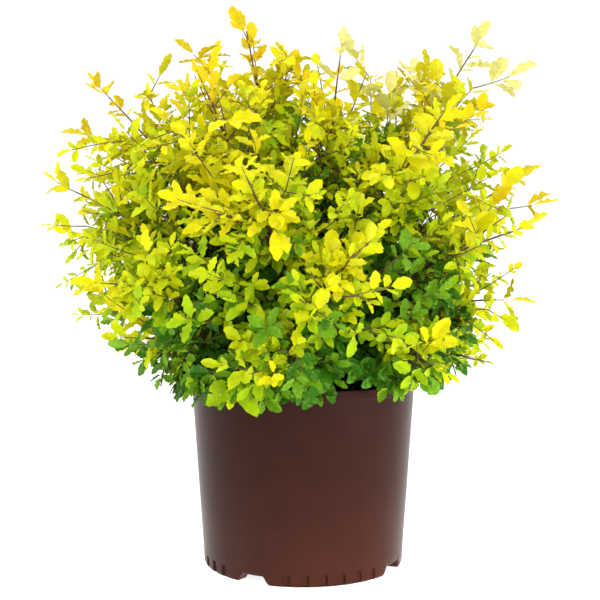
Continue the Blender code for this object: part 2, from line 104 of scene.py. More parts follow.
# Limbs, tier by tier. Each list runs anticlockwise from the tier's first azimuth
TIERS = (
    {
        "name": "skirt",
        "azimuths": (20, 80, 140, 200, 260, 320),
        "rises": (-5, -2, -2, 3, -3, -3),
        "reaches": (0.266, 0.255, 0.255, 0.235, 0.235, 0.225),
    },
    {
        "name": "lower",
        "azimuths": (50, 110, 170, 217, 275, 348),
        "rises": (20, 20, 25.5, 17, 18, 14.5),
        "reaches": (0.350, 0.340, 0.372, 0.330, 0.310, 0.290),
    },
    {
        "name": "upper",
        "azimuths": (15, 75, 135, 197, 257, 325),
        "rises": (37, 40, 42, 34, 36, 27),
        "reaches": (0.405, 0.395, 0.405, 0.388, 0.375, 0.358),
    },
    {
        "name": "top",
        "azimuths": (2, 48, 115, 176, 234, 310),
        "rises": (61, 60, 66, 52, 58, 50),
        "reaches": (0.476, 0.472, 0.425, 0.450, 0.400, 0.390),
    },
    {
        "name": "spire",
        "azimuths": (200, 290),
        "rises": (79, 72),
        "reaches": (0.446, 0.405),
    },
)

# Shape of a limb. Its bough ends at ENTRY, and the stem of its mass goes on from there
CONTROL_SHARE = 0.55
BOUGH_LIFT = 0.34
ENTRY = 0.40
BOUGH_ROOT_RADIUS = 0.0026
BOUGH_TIP_RADIUS = 0.0019
STEM_ROOT_RADIUS = 0.0017
STEM_TIP_RADIUS = 0.0009
STEM_RINGS = 4

# Twigs: opposite pairs at nodes of the stem, each pair turned from the one before
TWIG_NODES = (0.07, 0.40)
TWIG_TURN = 97.0
TWIG_ANGLE = 50.0
TWIG_REACH_SHARE = 0.33
TWIG_BEND = 0.35
TWIG_SHORTER = (1.0, 0.75, 0.5)
TWIG_ROOT_RADIUS = 0.0015
TWIG_TIP_RADIUS = 0.0009
TWIG_SIDES = 3
TWIG_RINGS = 3

# Large leaves of the solids, each of which is a spray here
LEAF_LENGTHS = (0.064, 0.084)
LENGTHS_FROM = 0.14
LENGTHS_OVER = 0.20
LEADER_LEAF = 0.056
LEAF_WIDTH_SHARE = 0.54
LEAF_THICKNESS = 0.0018
LEAF_WIDEST_AT = 0.45
LEAF_NECK_AT = 0.16
LEAF_SINK = 0.001
LEAF_PAIR_ANGLE = 58.0
LEADER_PAIRS = (0.025, 0.14)
TWIG_PAIRS = (0.70, 0.275)
MOST_LEAVES = 22
LEAF_TRIES = 16
TRY_SHRINK = 0.02
TRY_TURN = 0.16
FACE_OUT = 0.5
FACE_UP = 0.4
FACE_LOOSE = 0.5

# Room that a mass keeps to
BULK_SHARE = 0.94
CELL_AXIS_AT = 0.72
CELL_MARGIN = 0.0007
LIMB_CLEARANCE = 0.0009
RIM_CLEARANCE = 0.0025
WALL_CLEARANCE = 0.008
MIX_CLEARANCE = 0.004
HEM_HEIGHT = 0.200
HEM_SLOPE = 0.28

# Finer growth, which only this script has: more sprays on the twigs, and pairs of single leaves
FILL_AT = (0.18, 0.48, 0.88)
FILL_LENGTH = 0.052
STEM_FILL_AT = (0.26, 0.34, 0.42, 0.50, 0.57, 0.64, 0.71)
STEM_FILL_LENGTH = 0.066
MORE_NODES = (0.00, 0.22, 0.56, 0.74)
MORE_TURNS = (95.0, 0.0, 50.0, 140.0)
HEM_TURNS = (90.0, 78.0, 104.0, 90.0)
MORE_TWIG_SHARES = (0.75, 1.05)
MORE_AT = 0.55
INNER_AT = (0.13, 0.19, 0.25, 0.31, 0.37)
HIGH_INNER_AT = (0.43, 0.50, 0.57)
INNER_LENGTH = 0.064
INNER_SIZE = 1.25
INNER_TONE = -0.20
FILL_PAST_WALLS = 0.016
NODE_SPACING = 0.0108
OPEN_SPACING = 0.0180
LEADER_SPACING = 0.019
TIP_LEAF = (0.018, 0.026)
PAIR_LEAF = (0.019, 0.030)
SPRAY_SIZES = (0.78, 1.12)
ROSETTE_SIZE = 1.45
ROSETTE_SHARE = 0.18
ROSETTE_TONE = 0.12
LEADER_SIZE = 0.84
PAIR_ANGLE = 54.0
SUN_PULL = 0.20
SHOOT_SUN_PULL = 0.90
PAIR_TURN = 72.0
OPEN_FROM = 0.84
OPEN_SHARE = 0.75

# Outside this share of its reach a mass thins out into slim shoots, with single leaves in pairs. Some of them
# do so early, others not at all
THIN_FROM = {"upper": 0.84, "top": 0.80, "spire": 0.80, "lower": 0.92, "skirt": 1.10}
THIN_OWN = {
    "skirt_4": 0.92,
    "lower_3": 0.85,
    "lower_4": 0.86,
    "lower_6": 0.78,
    "upper_1": 0.71,
    "upper_4": 0.86,
    "upper_6": 0.76,
    "top_1": 0.81,
    "top_2": 0.70,
    "top_3": 0.64,
    "top_4": 0.85,
    "top_5": 1.10,
    "spire_1": 0.82,
    "spire_2": 0.80,
}
THIN_SIZE = 1.0
THIN_SIZES = {
    "lower_6": 1.10,
    "upper_1": 1.25,
    "top_1": 1.60,
    "top_2": 1.45,
    "top_4": 1.20,
    "top_5": 1.20,
    "top_6": 1.30,
    "spire_1": 1.35,
    "spire_2": 1.30,
}
THIN_SPACING = 0.0150
SHOOT_LEAF = (0.019, 0.025)
TWIG_RADII = (0.0012, 0.0005)

# Shoots that stand out of the crown: the limb and the share of it where each one leaves, the azimuth, rise and
# reach of its tip from the heart, the size of its leaves, and how much more golden they are
SHOOTS = (
    ("spire_1", 0.66, 181.0, 80.5, 0.430, 1.20, 0.15),
    ("spire_2", 0.50, 262.9, 80.7, 0.366, 0.95, 0.12),
    ("spire_2", 0.58, 297.5, 85.2, 0.382, 0.95, 0.05),
    ("spire_1", 0.56, 215.0, 86.5, 0.372, 1.00, 0.10),
    ("top_5", 0.80, 197.0, 73.0, 0.418, 1.15, 0.10),
    ("top_4", 0.68, 190.0, 41.5, 0.404, 0.90, 0.00),
    ("upper_1", 0.58, 348.0, 49.0, 0.350, 0.72, -0.20),
    ("top_6", 0.66, 345.6, 54.0, 0.398, 1.25, 0.25),
    ("upper_6", 0.56, 343.6, 40.0, 0.360, 1.50, 0.30),
    ("skirt_4", 0.60, 205.0, 18.0, 0.304, 1.30, 0.12),
    ("skirt_4", 0.66, 202.2, 7.5, 0.262, 1.25, 0.04),
    ("lower_6", 0.62, 350.0, 23.5, 0.292, 0.62, 0.10),
    ("lower_6", 0.52, 341.6, 6.0, 0.252, 0.80, 0.15),
)
SHOOT_SPACING = 0.0165
SHOOT_BARE = 0.30
SHOOT_BEND = 0.30
SHOOT_STEPS = 12

# Twigs over the rim of the pot: their azimuths on both sides of a skirt limb, and the size of their leaves
HEM_OFFSETS = (-27.0, -18.0, -9.0, 0.0, 9.0, 18.0, 27.0)
HEM_SIZE = 1.35
HEM_LIFT = 0.014
HEM_LIFT_AT = 315.0
SKIRT_HEM = 0.236

# Twigs into the gaps between the masses: how many are tried on a limb, where they start, how long they are,
# and how far their tips keep from every spray that is there
GAP_TRIES = 260
GAP_STARTS = (0.20, 0.88)
GAP_LENGTHS = (0.040, 0.150)
GAP_ANGLES = (35.0, 90.0)
GAP_APART = 0.034
GAP_REACH = (0.36, 0.89)
GAP_FILL_AT = 0.62
GAP_HEM_SLOPE = 0.42
TWIG_STEPS = 9
MOST_IN_PIECE = 2600
SPRAY_RADII = (0.0008, 0.0004)
SPRAY_RINGS = 5

# A small leaf: stations along it, and how its margins wave
STATIONS = np.array((0.08, 0.17, 0.29, 0.41, 0.53, 0.65, 0.78, 0.92))
PETIOLE = 0.10
PETIOLE_HALF = 0.018
LEAF_WIDTHS = (0.40, 0.54)
WAVES = 3.1
WAVE_HEIGHT = 0.055
WAVE_WIDTH = 0.13
BLADE_THICKNESS = 0.012

# Leaf colours from the shaded inside to the tips, as linear base colours, and the slot each one goes by
LEAF_CLASSES = (
    ("deep", "leaf_green", (0.045, 0.180, 0.005)),
    ("green", "leaf_green", (0.150, 0.340, 0.006)),
    ("fresh", "leaf_lime", (0.385, 0.565, 0.005)),
    ("lime", "leaf_lime", (0.590, 0.690, 0.004)),
    ("citron", "leaf_yellow", (0.735, 0.765, 0.004)),
    ("yellow", "leaf_yellow", (0.810, 0.735, 0.004)),
    ("gold", "leaf_gold", (0.850, 0.645, 0.005)),
    ("pale", "leaf_yellow", (0.860, 0.805, 0.280)),
)
TONE_EDGES = (0.26, 0.36, 0.46, 0.56, 0.71, 1.02, 1.80)
GILDED = {"spire_1": 0.30, "top_5": 0.30, "top_4": 0.30, "top_1": 0.30, "top_2": 0.30, "upper_1": 0.30, "skirt_4": 0.16}
PALE = {"top_1": (0.66, 0.95), "top_2": (0.66, 0.95), "spire_2": (0.86, 0.90)}
NOT_PALE = (9.0, 0.0)
PALE_TONE = 1.2
PALE_STEMS = ("top_1", "top_2")
UNDERSIDE = (0.50, 0.62, 0.16)

# Floor, which glows with painted light: most beside the pot, where it washes out the pot's shadow and lights the pot's
# foot from below, and less from a little way out
FLOOR_RADIUS = 40.0
FLOOR_SIDES = 96
FLOOR_PAINTED_GLOW = (0.85, 0.35)  # beside the pot, and from a little way out
PAINTED_GLOW_FADES = (0.20, 0.45)

# The lamps: name, place, aim, width, height, power in watts, spread of the beam in degrees, and whether the
# lamp is mirrored in gloss. The three low ones light the foot of the pot.
LAMPS = (
    ("key", (-1.3, -1.3, 2.2), (0, 0, 0.40), 1.1, 1.1, 12, 180, True),
    ("fill", (2.0, -1.1, 0.5), (0, 0, 0.20), 1.6, 1.6, 6.5, 180, True),
    ("top", (0.1, 0.3, 2.4), (0, 0, 0.40), 1.2, 1.2, 8, 180, True),
    ("low_front", (0.9, -1.1, 0.05), (0.04, -0.11, -0.06), 1.0, 0.1, 1.5, 18, False),
    ("low_left", (-1.35, -0.45, 0.04), (-0.10, -0.03, -0.02), 0.8, 0.1, 0.18, 14, True),
    ("low_right", (1.2, -0.75, 0.05), (0.08, -0.07, 0.14), 0.8, 0.1, 0.40, 24, False),
)

# View, fitted to the picture's frame
FRAME_PIXELS = 600
FOCAL_PIXELS = 1056.0
SENSOR = 36.0
CAMERA_AT = (0.0, -1.3258, 0.3759)
PITCH = -2.10
YAW = 0.17


def unit(vectors):
    return vectors / np.linalg.norm(vectors, axis=-1, keepdims=True)


def heading(azimuth, rise):
    """The unit vector at that azimuth and rise, both in degrees."""
    turn, lift = math.radians(azimuth), math.radians(rise)
    return np.array((math.cos(turn) * math.cos(lift), math.sin(turn) * math.cos(lift), math.sin(lift)))


def square_to(along, hint):
    """The unit vector nearest to hint that is square to along, row by row."""
    return unit(hint - along * np.sum(hint * along, axis=-1, keepdims=True))


def turned(vector, axis, degrees):
    """vector turned about a unit axis, by Rodrigues' formula."""
    a = math.radians(degrees)
    return (
        vector * math.cos(a)
        + np.cross(axis, vector) * math.sin(a)
        + axis * np.dot(axis, vector) * (1 - math.cos(a))
    )


def ripples(points, size, number, layers=3):
    """Smooth noise about 0: the mean of six sine waves in random directions, in layers, each of which has
    waves half as long and half as high as the layer before."""
    draw = np.random.default_rng([SEED, 77, number])
    total = 0
    for layer in range(layers):
        ways = unit(draw.normal(size=(6, 3))) * 2 * math.pi * 2**layer / size
        total = total + np.sin(points @ ways.T + draw.uniform(0, 2 * math.pi, 6)).mean(axis=-1) / 2**layer
    return total


# Meshes from arrays


def ring_faces(rings, columns, first=0):
    """Quads of a closed tube of rings, column by column, wound so that they face out."""
    row, column = np.meshgrid(np.arange(rings - 1), np.arange(columns), indexing="ij")
    after = (column + 1) % columns
    low, high = row * columns, (row + 1) * columns
    return first + np.stack((low + column, low + after, high + after, high + column), axis=-1).reshape(-1, 4)


def fan_faces(ring, centre, flip=False):
    """Triangles from the points of a ring to one centre."""
    after = np.roll(ring, -1)
    faces = np.stack((ring, after, np.full(len(ring), centre)), axis=-1)
    return faces[:, ::-1] if flip else faces


def piece(name, points, faces, finishes, replaces=(), sharp=40, finish_of_face=None):
    """An object with its place in its mesh. faces is a list of arrays, each with rows of one length."""
    sizes = np.concatenate([np.full(len(rows), rows.shape[1]) for rows in faces])
    corners = np.concatenate([rows.ravel() for rows in faces])
    mesh = bpy.data.meshes.new(name)
    mesh.vertices.add(len(points))
    mesh.vertices.foreach_set("co", np.ascontiguousarray(points, np.float32).ravel())
    mesh.loops.add(len(corners))
    mesh.loops.foreach_set("vertex_index", corners.astype(np.int32))
    mesh.polygons.add(len(sizes))
    mesh.polygons.foreach_set("loop_start", (np.cumsum(sizes) - sizes).astype(np.int32))
    for finish in finishes:
        mesh.materials.append(finish)
    if finish_of_face is not None:
        mesh.polygons.foreach_set("material_index", finish_of_face.astype(np.int32))
    mesh.update(calc_edges=True)
    mesh.validate()
    mesh.shade_smooth()
    mesh.set_sharp_from_angle(angle=math.radians(sharp))
    made = bpy.data.objects.new(name, mesh)
    bpy.context.scene.collection.objects.link(made)
    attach(made, BODY)
    if replaces:
        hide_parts(*replaces)
    return made


def turned_surface(radii, heights):
    """Points and faces of a closed surface turned about Z. radii and heights are grids, a row for each step
    of the profile and a column for each azimuth, and the first and last rows close to points on the axis."""
    rows, columns = radii.shape
    turn = 2 * math.pi * np.arange(columns) / columns
    points = np.stack((radii * np.cos(turn), radii * np.sin(turn), heights), axis=-1).reshape(-1, 3)
    poles = [(0, 0, heights[0].mean()), (0, 0, heights[-1].mean())]
    count = rows * columns
    ring = np.arange(columns)
    faces = [ring_faces(rows, columns)]
    faces.append(fan_faces(ring, count, flip=True))
    faces.append(fan_faces(ring + (rows - 1) * columns, count + 1))
    return np.concatenate((points, poles)), faces


def tubes(paths, radii, sides, relief=None):
    """Points and faces of tubes along paths, an array of (tube, ring, xyz), with closed ends. Each ring is a
    circle square to its path, and relief scales the radius of each of its points."""
    count, rings, _ = paths.shape
    along = unit(np.gradient(paths, axis=1))
    hint = np.where(np.abs(along[:, :1, 2:]) > 0.8, (1.0, 0.2, 0.1), (0.1, 0.17, 1.0))
    across = square_to(along, np.broadcast_to(hint, along.shape))
    other = np.cross(along, across)
    turn = 2 * math.pi * np.arange(sides) / sides
    spokes = across[:, :, None] * np.cos(turn)[:, None] + other[:, :, None] * np.sin(turn)[:, None]
    wide = np.broadcast_to(radii[..., None], (count, rings, sides))
    points = paths[:, :, None] + spokes * wide[..., None]
    if relief is not None:
        points = paths[:, :, None] + spokes * (wide * (1 + relief(points)))[..., None]
    each = rings * sides + 2
    points = np.concatenate((points.reshape(count, -1, 3), paths[:, :1], paths[:, -1:]), axis=1)
    starts = (np.arange(count) * each)[:, None, None]
    ring = np.arange(sides)
    quads = ring_faces(rings, sides)[None] + starts
    ends = np.concatenate(
        (fan_faces(ring, each - 2, flip=True), fan_faces(ring + (rings - 1) * sides, each - 1))
    )
    return points.reshape(-1, 3), [quads.reshape(-1, 4), (ends[None] + starts).reshape(-1, 3)]


def pebbles(centres, sizes, draw, rings=4, columns=7):
    """Closed lumps: spheres of a few faces with each point pushed in or out at random, stretched to three
    sizes and turned at random."""
    count = len(centres)
    lift = np.linspace(-90, 90, rings + 2)[1:-1, None] * math.pi / 180
    turn = 2 * math.pi * np.arange(columns) / columns
    ball = np.stack((np.cos(lift) * np.cos(turn), np.cos(lift) * np.sin(turn), np.sin(lift) + 0 * turn), -1)
    ball = np.concatenate((ball.reshape(-1, 3), [(0, 0, -1), (0, 0, 1)]))
    lumps = ball * draw.uniform(0.72, 1.1, (count, len(ball), 1)) * sizes[:, None]
    tilt, spin = draw.normal(0, 0.35, count), draw.uniform(0, 2 * math.pi, count)
    x, y, z = np.moveaxis(lumps, -1, 0)
    cos, sin = np.cos(tilt)[:, None], np.sin(tilt)[:, None]
    x, z = x * cos - z * sin, x * sin + z * cos
    cos, sin = np.cos(spin)[:, None], np.sin(spin)[:, None]
    x, y = x * cos - y * sin, x * sin + y * cos
    points = np.stack((x, y, z), axis=-1) + centres[:, None]
    starts = (np.arange(count) * len(ball))[:, None, None]
    ring, last = np.arange(columns), len(ball)
    ends = np.concatenate(
        (fan_faces(ring, last - 2, flip=True), fan_faces(ring + (rings - 1) * columns, last - 1))
    )
    quads = ring_faces(rings, columns)[None] + starts
    return points.reshape(-1, 3), [quads.reshape(-1, 4), (ends[None] + starts).reshape(-1, 3)]


# Finishes


def finish(name, colour, rough, spread, grain, bump=0.0, second=None, specular=0.5):
    """A material whose colour drifts by spread between darker and lighter, or towards a second colour, with
    noise of the given grain per metre, and whose roughness and bump follow finer noise."""
    made = bpy.data.materials.new(name)
    made.use_nodes = True
    nodes, links = made.node_tree.nodes, made.node_tree.links
    shader = nodes["Principled BSDF"]
    shader.inputs["Specular IOR Level"].default_value = specular
    place = nodes.new("ShaderNodeTexCoord")
    noise = nodes.new("ShaderNodeTexNoise")
    noise.inputs["Scale"].default_value = grain
    noise.inputs["Detail"].default_value = 4.0
    links.new(place.outputs["Object"], noise.inputs["Vector"])
    ramp = nodes.new("ShaderNodeValToRGB")
    ramp.color_ramp.elements[0].position = 0.32
    ramp.color_ramp.elements[1].position = 0.68
    low = [c * (1 - spread) for c in colour]
    high = second or [min(1.0, c * (1 + spread)) for c in colour]
    ramp.color_ramp.elements[0].color = (*low, 1)
    ramp.color_ramp.elements[1].color = (*high, 1)
    links.new(noise.outputs["Fac"], ramp.inputs["Fac"])
    links.new(ramp.outputs["Color"], shader.inputs["Base Color"])
    fine = nodes.new("ShaderNodeTexNoise")
    fine.inputs["Scale"].default_value = grain * 6
    fine.inputs["Detail"].default_value = 3.0
    links.new(place.outputs["Object"], fine.inputs["Vector"])
    span = nodes.new("ShaderNodeMapRange")
    span.inputs["To Min"].default_value = rough * 0.85
    span.inputs["To Max"].default_value = min(1.0, rough * 1.15)
    links.new(fine.outputs["Fac"], span.inputs["Value"])
    links.new(span.outputs["Result"], shader.inputs["Roughness"])
    if bump:
        relief = nodes.new("ShaderNodeBump")
        relief.inputs["Strength"].default_value = bump
        relief.inputs["Distance"].default_value = 0.001
        links.new(fine.outputs["Fac"], relief.inputs["Height"])
        links.new(relief.outputs["Normal"], shader.inputs["Normal"])
    return made


# Pot


def wall_radius(height):
    """Outer radius of the pot's wall at a height: it widens evenly from the foot to the rim band."""
    top = RIM_RADIUS - RIM_STEP
    return FOOT_RADIUS + (top - FOOT_RADIUS) * height / (POT_HEIGHT - RIM_BAND)


def eased(values):
    """0 up to 0, 1 from 1, and a smooth step between."""
    t = np.clip(values, 0, 1)
    return t * t * (3 - 2 * t)


def notch_rise(azimuth):
    """How far the bottom edge is lifted at an azimuth: the notch's full height across its top, and a rounded
    slope down to nothing at the ends of its foot."""
    from_notch = (azimuth - FIRST_NOTCH + 180 / NOTCHES) % (360 / NOTCHES) - 180 / NOTCHES
    sideways = np.abs(np.radians(from_notch)) * FOOT_RADIUS
    slope = (NOTCH_FOOT_WIDTH - NOTCH_TOP_WIDTH) / 2
    return NOTCH_HEIGHT * eased((NOTCH_FOOT_WIDTH / 2 - sideways) / slope)


def flute_depth(azimuth, height):
    """How far the wall is sunk: a group of upright arches, each the flute's depth inside its outline, with
    a short slope at its sides."""
    middle = FIRST_NOTCH + 180 / NOTCHES
    from_middle = (azimuth - middle + 180 / NOTCHES) % (360 / NOTCHES) - 180 / NOTCHES
    last = (FLUTES_BETWEEN - 1) / 2
    nearest = np.clip(np.round(from_middle / FLUTE_SPACING - 0.5) + 0.5, -last, last) * FLUTE_SPACING
    sideways = np.radians(from_middle - nearest) * FOOT_RADIUS
    above = np.maximum(0, height - (FLUTE_HEIGHT - FLUTE_WIDTH / 2))
    inside = FLUTE_WIDTH / 2 - np.hypot(sideways, above)
    return FLUTE_DEPTH * eased(inside / 0.0009)


def round_corner(centre, radius, start, stop, steps):
    """Points of an arc, as (radius, height) pairs, between two angles in degrees."""
    a = np.radians(np.linspace(start, stop, steps))
    return np.stack((centre[0] + radius * np.cos(a), centre[1] + radius * np.sin(a)), axis=-1)


def pot_section():
    """The pot's section from the middle of its underside, round its wall and rim, to the middle of its floor,
    as (radius, height) pairs with rounded edges."""
    band = POT_HEIGHT - RIM_BAND
    inner = FOOT_RADIUS - FOOT_WIDTH
    lift = 0.0026
    low_wall = np.linspace(FOOT_ROUND * 1.1, 0.020, 18)
    wall = np.linspace(0.024, band - 0.003, 16)
    rim = RIM_RADIUS - RIM_ROUND
    top = POT_HEIGHT - RIM_ROUND
    parts = [
        np.stack((np.linspace(0.004, inner - 0.004, 12), np.full(12, FLOOR_UNDER)), axis=-1),
        round_corner((inner - 0.0035, FLOOR_UNDER - 0.0015), 0.0015, 90, 10, 4),
        [(inner - 0.001, 0.006), (inner - 0.0004, 0.002)],
        round_corner((inner + 0.0010, 0.0010), 0.0010, 180, 270, 4),
        round_corner((FOOT_RADIUS - FOOT_ROUND, FOOT_ROUND), FOOT_ROUND, 270, 355, 8),
        np.stack((wall_radius(low_wall), low_wall), axis=-1),
        np.stack((wall_radius(wall), wall), axis=-1),
        [(wall_radius(band) - 0.0001, band - 0.0012), (wall_radius(band) + 0.0002, band)],
        round_corner((RIM_RADIUS - RIM_STEP * 0.9, band + lift * 0.5), RIM_STEP * 0.9, 300, 360, 4),
        [(RIM_RADIUS, (band + POT_HEIGHT) / 2), (RIM_RADIUS, top)],
        round_corner((rim, top), RIM_ROUND, 15, 165, 8),
        [(wall_radius(band) - WALL, band)],
        np.stack((wall_radius(wall[::-4]) - WALL, wall[::-4]), axis=-1),
        [(wall_radius(FLOOR_TOP) - WALL, FLOOR_TOP), (0.004, FLOOR_TOP)],
    ]
    return np.concatenate([np.asarray(part, float) for part in parts])


def make_pot():
    section = pot_section()
    azimuth = 360 * np.arange(POT_COLUMNS) / POT_COLUMNS
    radii = np.repeat(section[:, :1], POT_COLUMNS, axis=1)
    heights = np.repeat(section[:, 1:], POT_COLUMNS, axis=1)
    outside = np.arange(len(section))[:, None] < np.argmax(section[:, 1])
    wall = outside & (radii > FOOT_RADIUS - FOOT_ROUND)
    radii = radii - np.where(wall & (heights < 0.03), flute_depth(azimuth, heights), 0)
    foot = outside & (radii > FOOT_RADIUS - FOOT_WIDTH - 0.002)
    lifted = notch_rise(azimuth) * np.clip(1 - (heights - 0.003) / 0.016, 0, 1)
    heights = heights + np.where(foot & (heights < 0.019), lifted, 0)
    plastic = finish("pot_plastic", (0.0290, 0.0066, 0.0035), 0.32, 0.08, 30, 0.04, specular=0.11)
    points, faces = turned_surface(radii, heights)
    pot = piece("pot_shell", points, faces, [plastic], ["pot"], sharp=50)
    drill_drains(pot)


def drill_drains(pot):
    """Four round holes through the floor, one at the azimuth of each notch, by one Boolean that is applied."""
    turns = np.radians(FIRST_NOTCH + 360 / NOTCHES * np.arange(NOTCHES))
    centres = np.stack((np.cos(turns), np.sin(turns)), axis=-1) * DRAIN_AT
    levels = np.linspace(FLOOR_UNDER - 0.003, FLOOR_TOP + 0.003, 3)
    paths = np.concatenate(
        (
            np.repeat(centres[:, None], len(levels), axis=1),
            np.broadcast_to(levels[None, :, None], (NOTCHES, len(levels), 1)),
        ),
        axis=-1,
    )
    points, faces = tubes(paths, np.full(paths.shape[:2], DRAIN_RADIUS), DRAIN_SIDES)
    mesh = bpy.data.meshes.new("drains")
    mesh.from_pydata(points.tolist(), [], [row for rows in faces for row in rows.tolist()])
    cutter = bpy.data.objects.new("drains", mesh)
    bpy.context.scene.collection.objects.link(cutter)
    cut = pot.modifiers.new("drains", "BOOLEAN")
    cut.operation = "DIFFERENCE"
    cut.solver = "MANIFOLD"
    cut.object = cutter
    graph = bpy.context.evaluated_depsgraph_get()
    made = bpy.data.meshes.new_from_object(pot.evaluated_get(graph))
    pot.modifiers.clear()
    pot.data = made
    bpy.data.objects.remove(cutter)


def make_mix():
    """The fill: a closed solid of revolution whose top is loose and lumpy, with chips of bark and pale grains
    pressed into it."""
    edge = wall_radius(MIX_EDGE) - WALL - MIX_TO_WALL
    low = FLOOR_TOP + GAP
    tops = np.linspace(edge - 0.004, 0.002, 56)
    section = [(0.01, low), (wall_radius(low) - WALL - MIX_TO_WALL, low), (edge, MIX_EDGE)]
    section += [(radius, MIX_TOP) for radius in tops]
    section = np.array(section)
    columns = 240
    radii = np.repeat(section[:, :1], columns, axis=1)
    heights = np.repeat(section[:, 1:], columns, axis=1)
    points, faces = turned_surface(radii, heights)
    loose = points[:, 2] > MIX_TOP - 0.0005
    points[loose, 2] += MIX_LOOSE * ripples(points[loose], 0.022, 1, 4) - 0.0004
    soil = finish("loose_mix", (0.022, 0.013, 0.008), 0.95, 0.5, 260, 0.6, second=(0.060, 0.036, 0.022))
    piece("mix_fill", points, faces, [soil], ["potting_mix"], sharp=80)
    draw = np.random.default_rng([SEED, 5])
    for name, count, sizes, colour, second in (
        ("bark_chips", CHIPS, (0.0052, 0.0026, 0.0012), (0.055, 0.028, 0.016), (0.150, 0.085, 0.050)),
        ("pale_grains", GRAINS, (0.0016, 0.0014, 0.0012), (0.62, 0.60, 0.55), (0.80, 0.78, 0.74)),
    ):
        out = (edge - 0.006) * np.sqrt(draw.uniform(0.03, 1, count))
        turn = draw.uniform(0, 2 * math.pi, count)
        centres = np.stack((out * np.cos(turn), out * np.sin(turn), np.full(count, MIX_TOP)), axis=-1)
        centres[:, 2] += MIX_LOOSE * ripples(centres, 0.022, 1, 4) - 0.0002
        scale = draw.uniform(0.6, 1.3, (count, 1)) * np.array(sizes)
        points, faces = pebbles(centres, scale, draw)
        coat = finish(name, colour, 0.9, 0.3, 180, 0.3, second=second)
        piece(name, points, faces, [coat], sharp=30)


# The rule of growth, as in the solids


class Limb:
    """One smooth curve from the head of the trunk to the tip of a mass: a quadratic Bezier curve whose
    middle point is lifted, so that the limb leaves the head steeply and then arches out."""

    def __init__(self, tier, number, azimuth, rise, reach):
        self.name = f"{tier['name']}_{number}"
        self.reach = reach
        out = heading(azimuth, rise)
        lifted = unit(out + np.array((0, 0, BOUGH_LIFT * math.cos(math.radians(rise)))))
        self.start = HEART + lifted * (HEAD_RADIUS + GAP)
        self.middle = HEART + lifted * reach * CONTROL_SHARE
        self.end = HEART + out * reach
        self.axis = unit(self.at(CELL_AXIS_AT) - HEART)

    def at(self, share):
        s = np.asarray(share, float)[..., None]
        return (1 - s) ** 2 * self.start + 2 * s * (1 - s) * self.middle + s * s * self.end

    def ahead(self, share):
        s = np.asarray(share, float)[..., None]
        slope = (1 - s) * (self.middle - self.start) + s * (self.end - self.middle)
        return slope / np.linalg.norm(slope, axis=-1, keepdims=True)

    def stem_start(self):
        return ENTRY + 1.3 * GAP / self.reach

    def stem_end(self):
        """Where the leaf at the limb's end is rooted."""
        return 1 - LEADER_LEAF / self.reach


def all_limbs():
    limbs = []
    for tier in TIERS:
        rows = zip(tier["azimuths"], tier["rises"], tier["reaches"])
        limbs += [Limb(tier, n + 1, *row) for n, row in enumerate(rows)]
    return limbs


def stem_line(limb):
    shares = np.linspace(limb.stem_start(), limb.stem_end() + LEAF_SINK, STEM_RINGS)
    return limb.at(shares), np.linspace(STEM_ROOT_RADIUS, STEM_TIP_RADIUS, STEM_RINGS)


def twig_line(root, along, bend_to, length, rings=TWIG_RINGS):
    """Path and radii of a twig that leaves along and bends evenly towards bend_to."""
    s = np.linspace(0, 1, rings)[:, None]
    path = root + length * (s * along + TWIG_BEND * s * s * (bend_to - along))
    return path, np.linspace(TWIG_ROOT_RADIUS, TWIG_TIP_RADIUS, rings)


def point_on(path, share):
    """The point at a share of the way along a path of even steps."""
    step = min(int(share * (len(path) - 1)), len(path) - 2)
    return path[step] + (share * (len(path) - 1) - step) * (path[step + 1] - path[step])


class Space:
    """The room that one mass may fill: the cone of directions from the heart that lie nearest to its own
    limb, outside the pot and the mix, and clear of every bough."""

    def __init__(self, limb, limbs):
        others = [other.axis for other in limbs if other is not limb]
        walls = np.array([limb.axis - other for other in others])
        self.walls = walls / np.linalg.norm(walls, axis=1, keepdims=True)
        shares = np.linspace(0, ENTRY, 24)
        self.boughs = np.concatenate([other.at(shares) for other in limbs])

    def clear_of_pot(self, points):
        """Whether no point is in the pot's wall, in the mix or under the hem of the skirt."""
        out, height = np.hypot(points[:, 0], points[:, 1]), points[:, 2]
        over_wall = (out > RIM_RADIUS - WALL_CLEARANCE) & (out < RIM_RADIUS + RIM_CLEARANCE)
        in_pot = over_wall & (height < POT_HEIGHT + RIM_CLEARANCE)
        in_mix = (out < RIM_RADIUS) & (height < MIX_TOP + MIX_CLEARANCE)
        under_hem = height < HEM_HEIGHT + HEM_SLOPE * np.maximum(0, out - RIM_RADIUS)
        return not (in_pot | in_mix | under_hem).any()

    def holds(self, points, thickness, most_far):
        from_heart = points - HEART
        if (from_heart @ self.walls.T).min() < CELL_MARGIN + thickness:
            return False
        if np.linalg.norm(from_heart, axis=1).max() > most_far:
            return False
        if not self.clear_of_pot(points):
            return False
        to_boughs = np.linalg.norm(points[:, None] - self.boughs[None], axis=2)
        return to_boughs.min() > BOUGH_ROOT_RADIUS + LIMB_CLEARANCE + thickness


def leaf_points(root, along, face, length, u, v):
    """Points of a flat leaf at shares u of its length and v of its half width."""
    side = np.cross(face, along)
    half = LEAF_WIDTH_SHARE / 2 * np.minimum(u / LEAF_WIDEST_AT, (1 - u) / (1 - LEAF_WIDEST_AT))
    return root + length * (np.outer(u, along) + np.outer(half * v, side))


def leaf_samples(leaf):
    """A net of points over a leaf, for testing where it may go."""
    u, v = np.meshgrid(np.linspace(0.05, 1, 10), np.linspace(-1, 1, 5))
    return leaf_points(*leaf, u.ravel(), v.ravel())


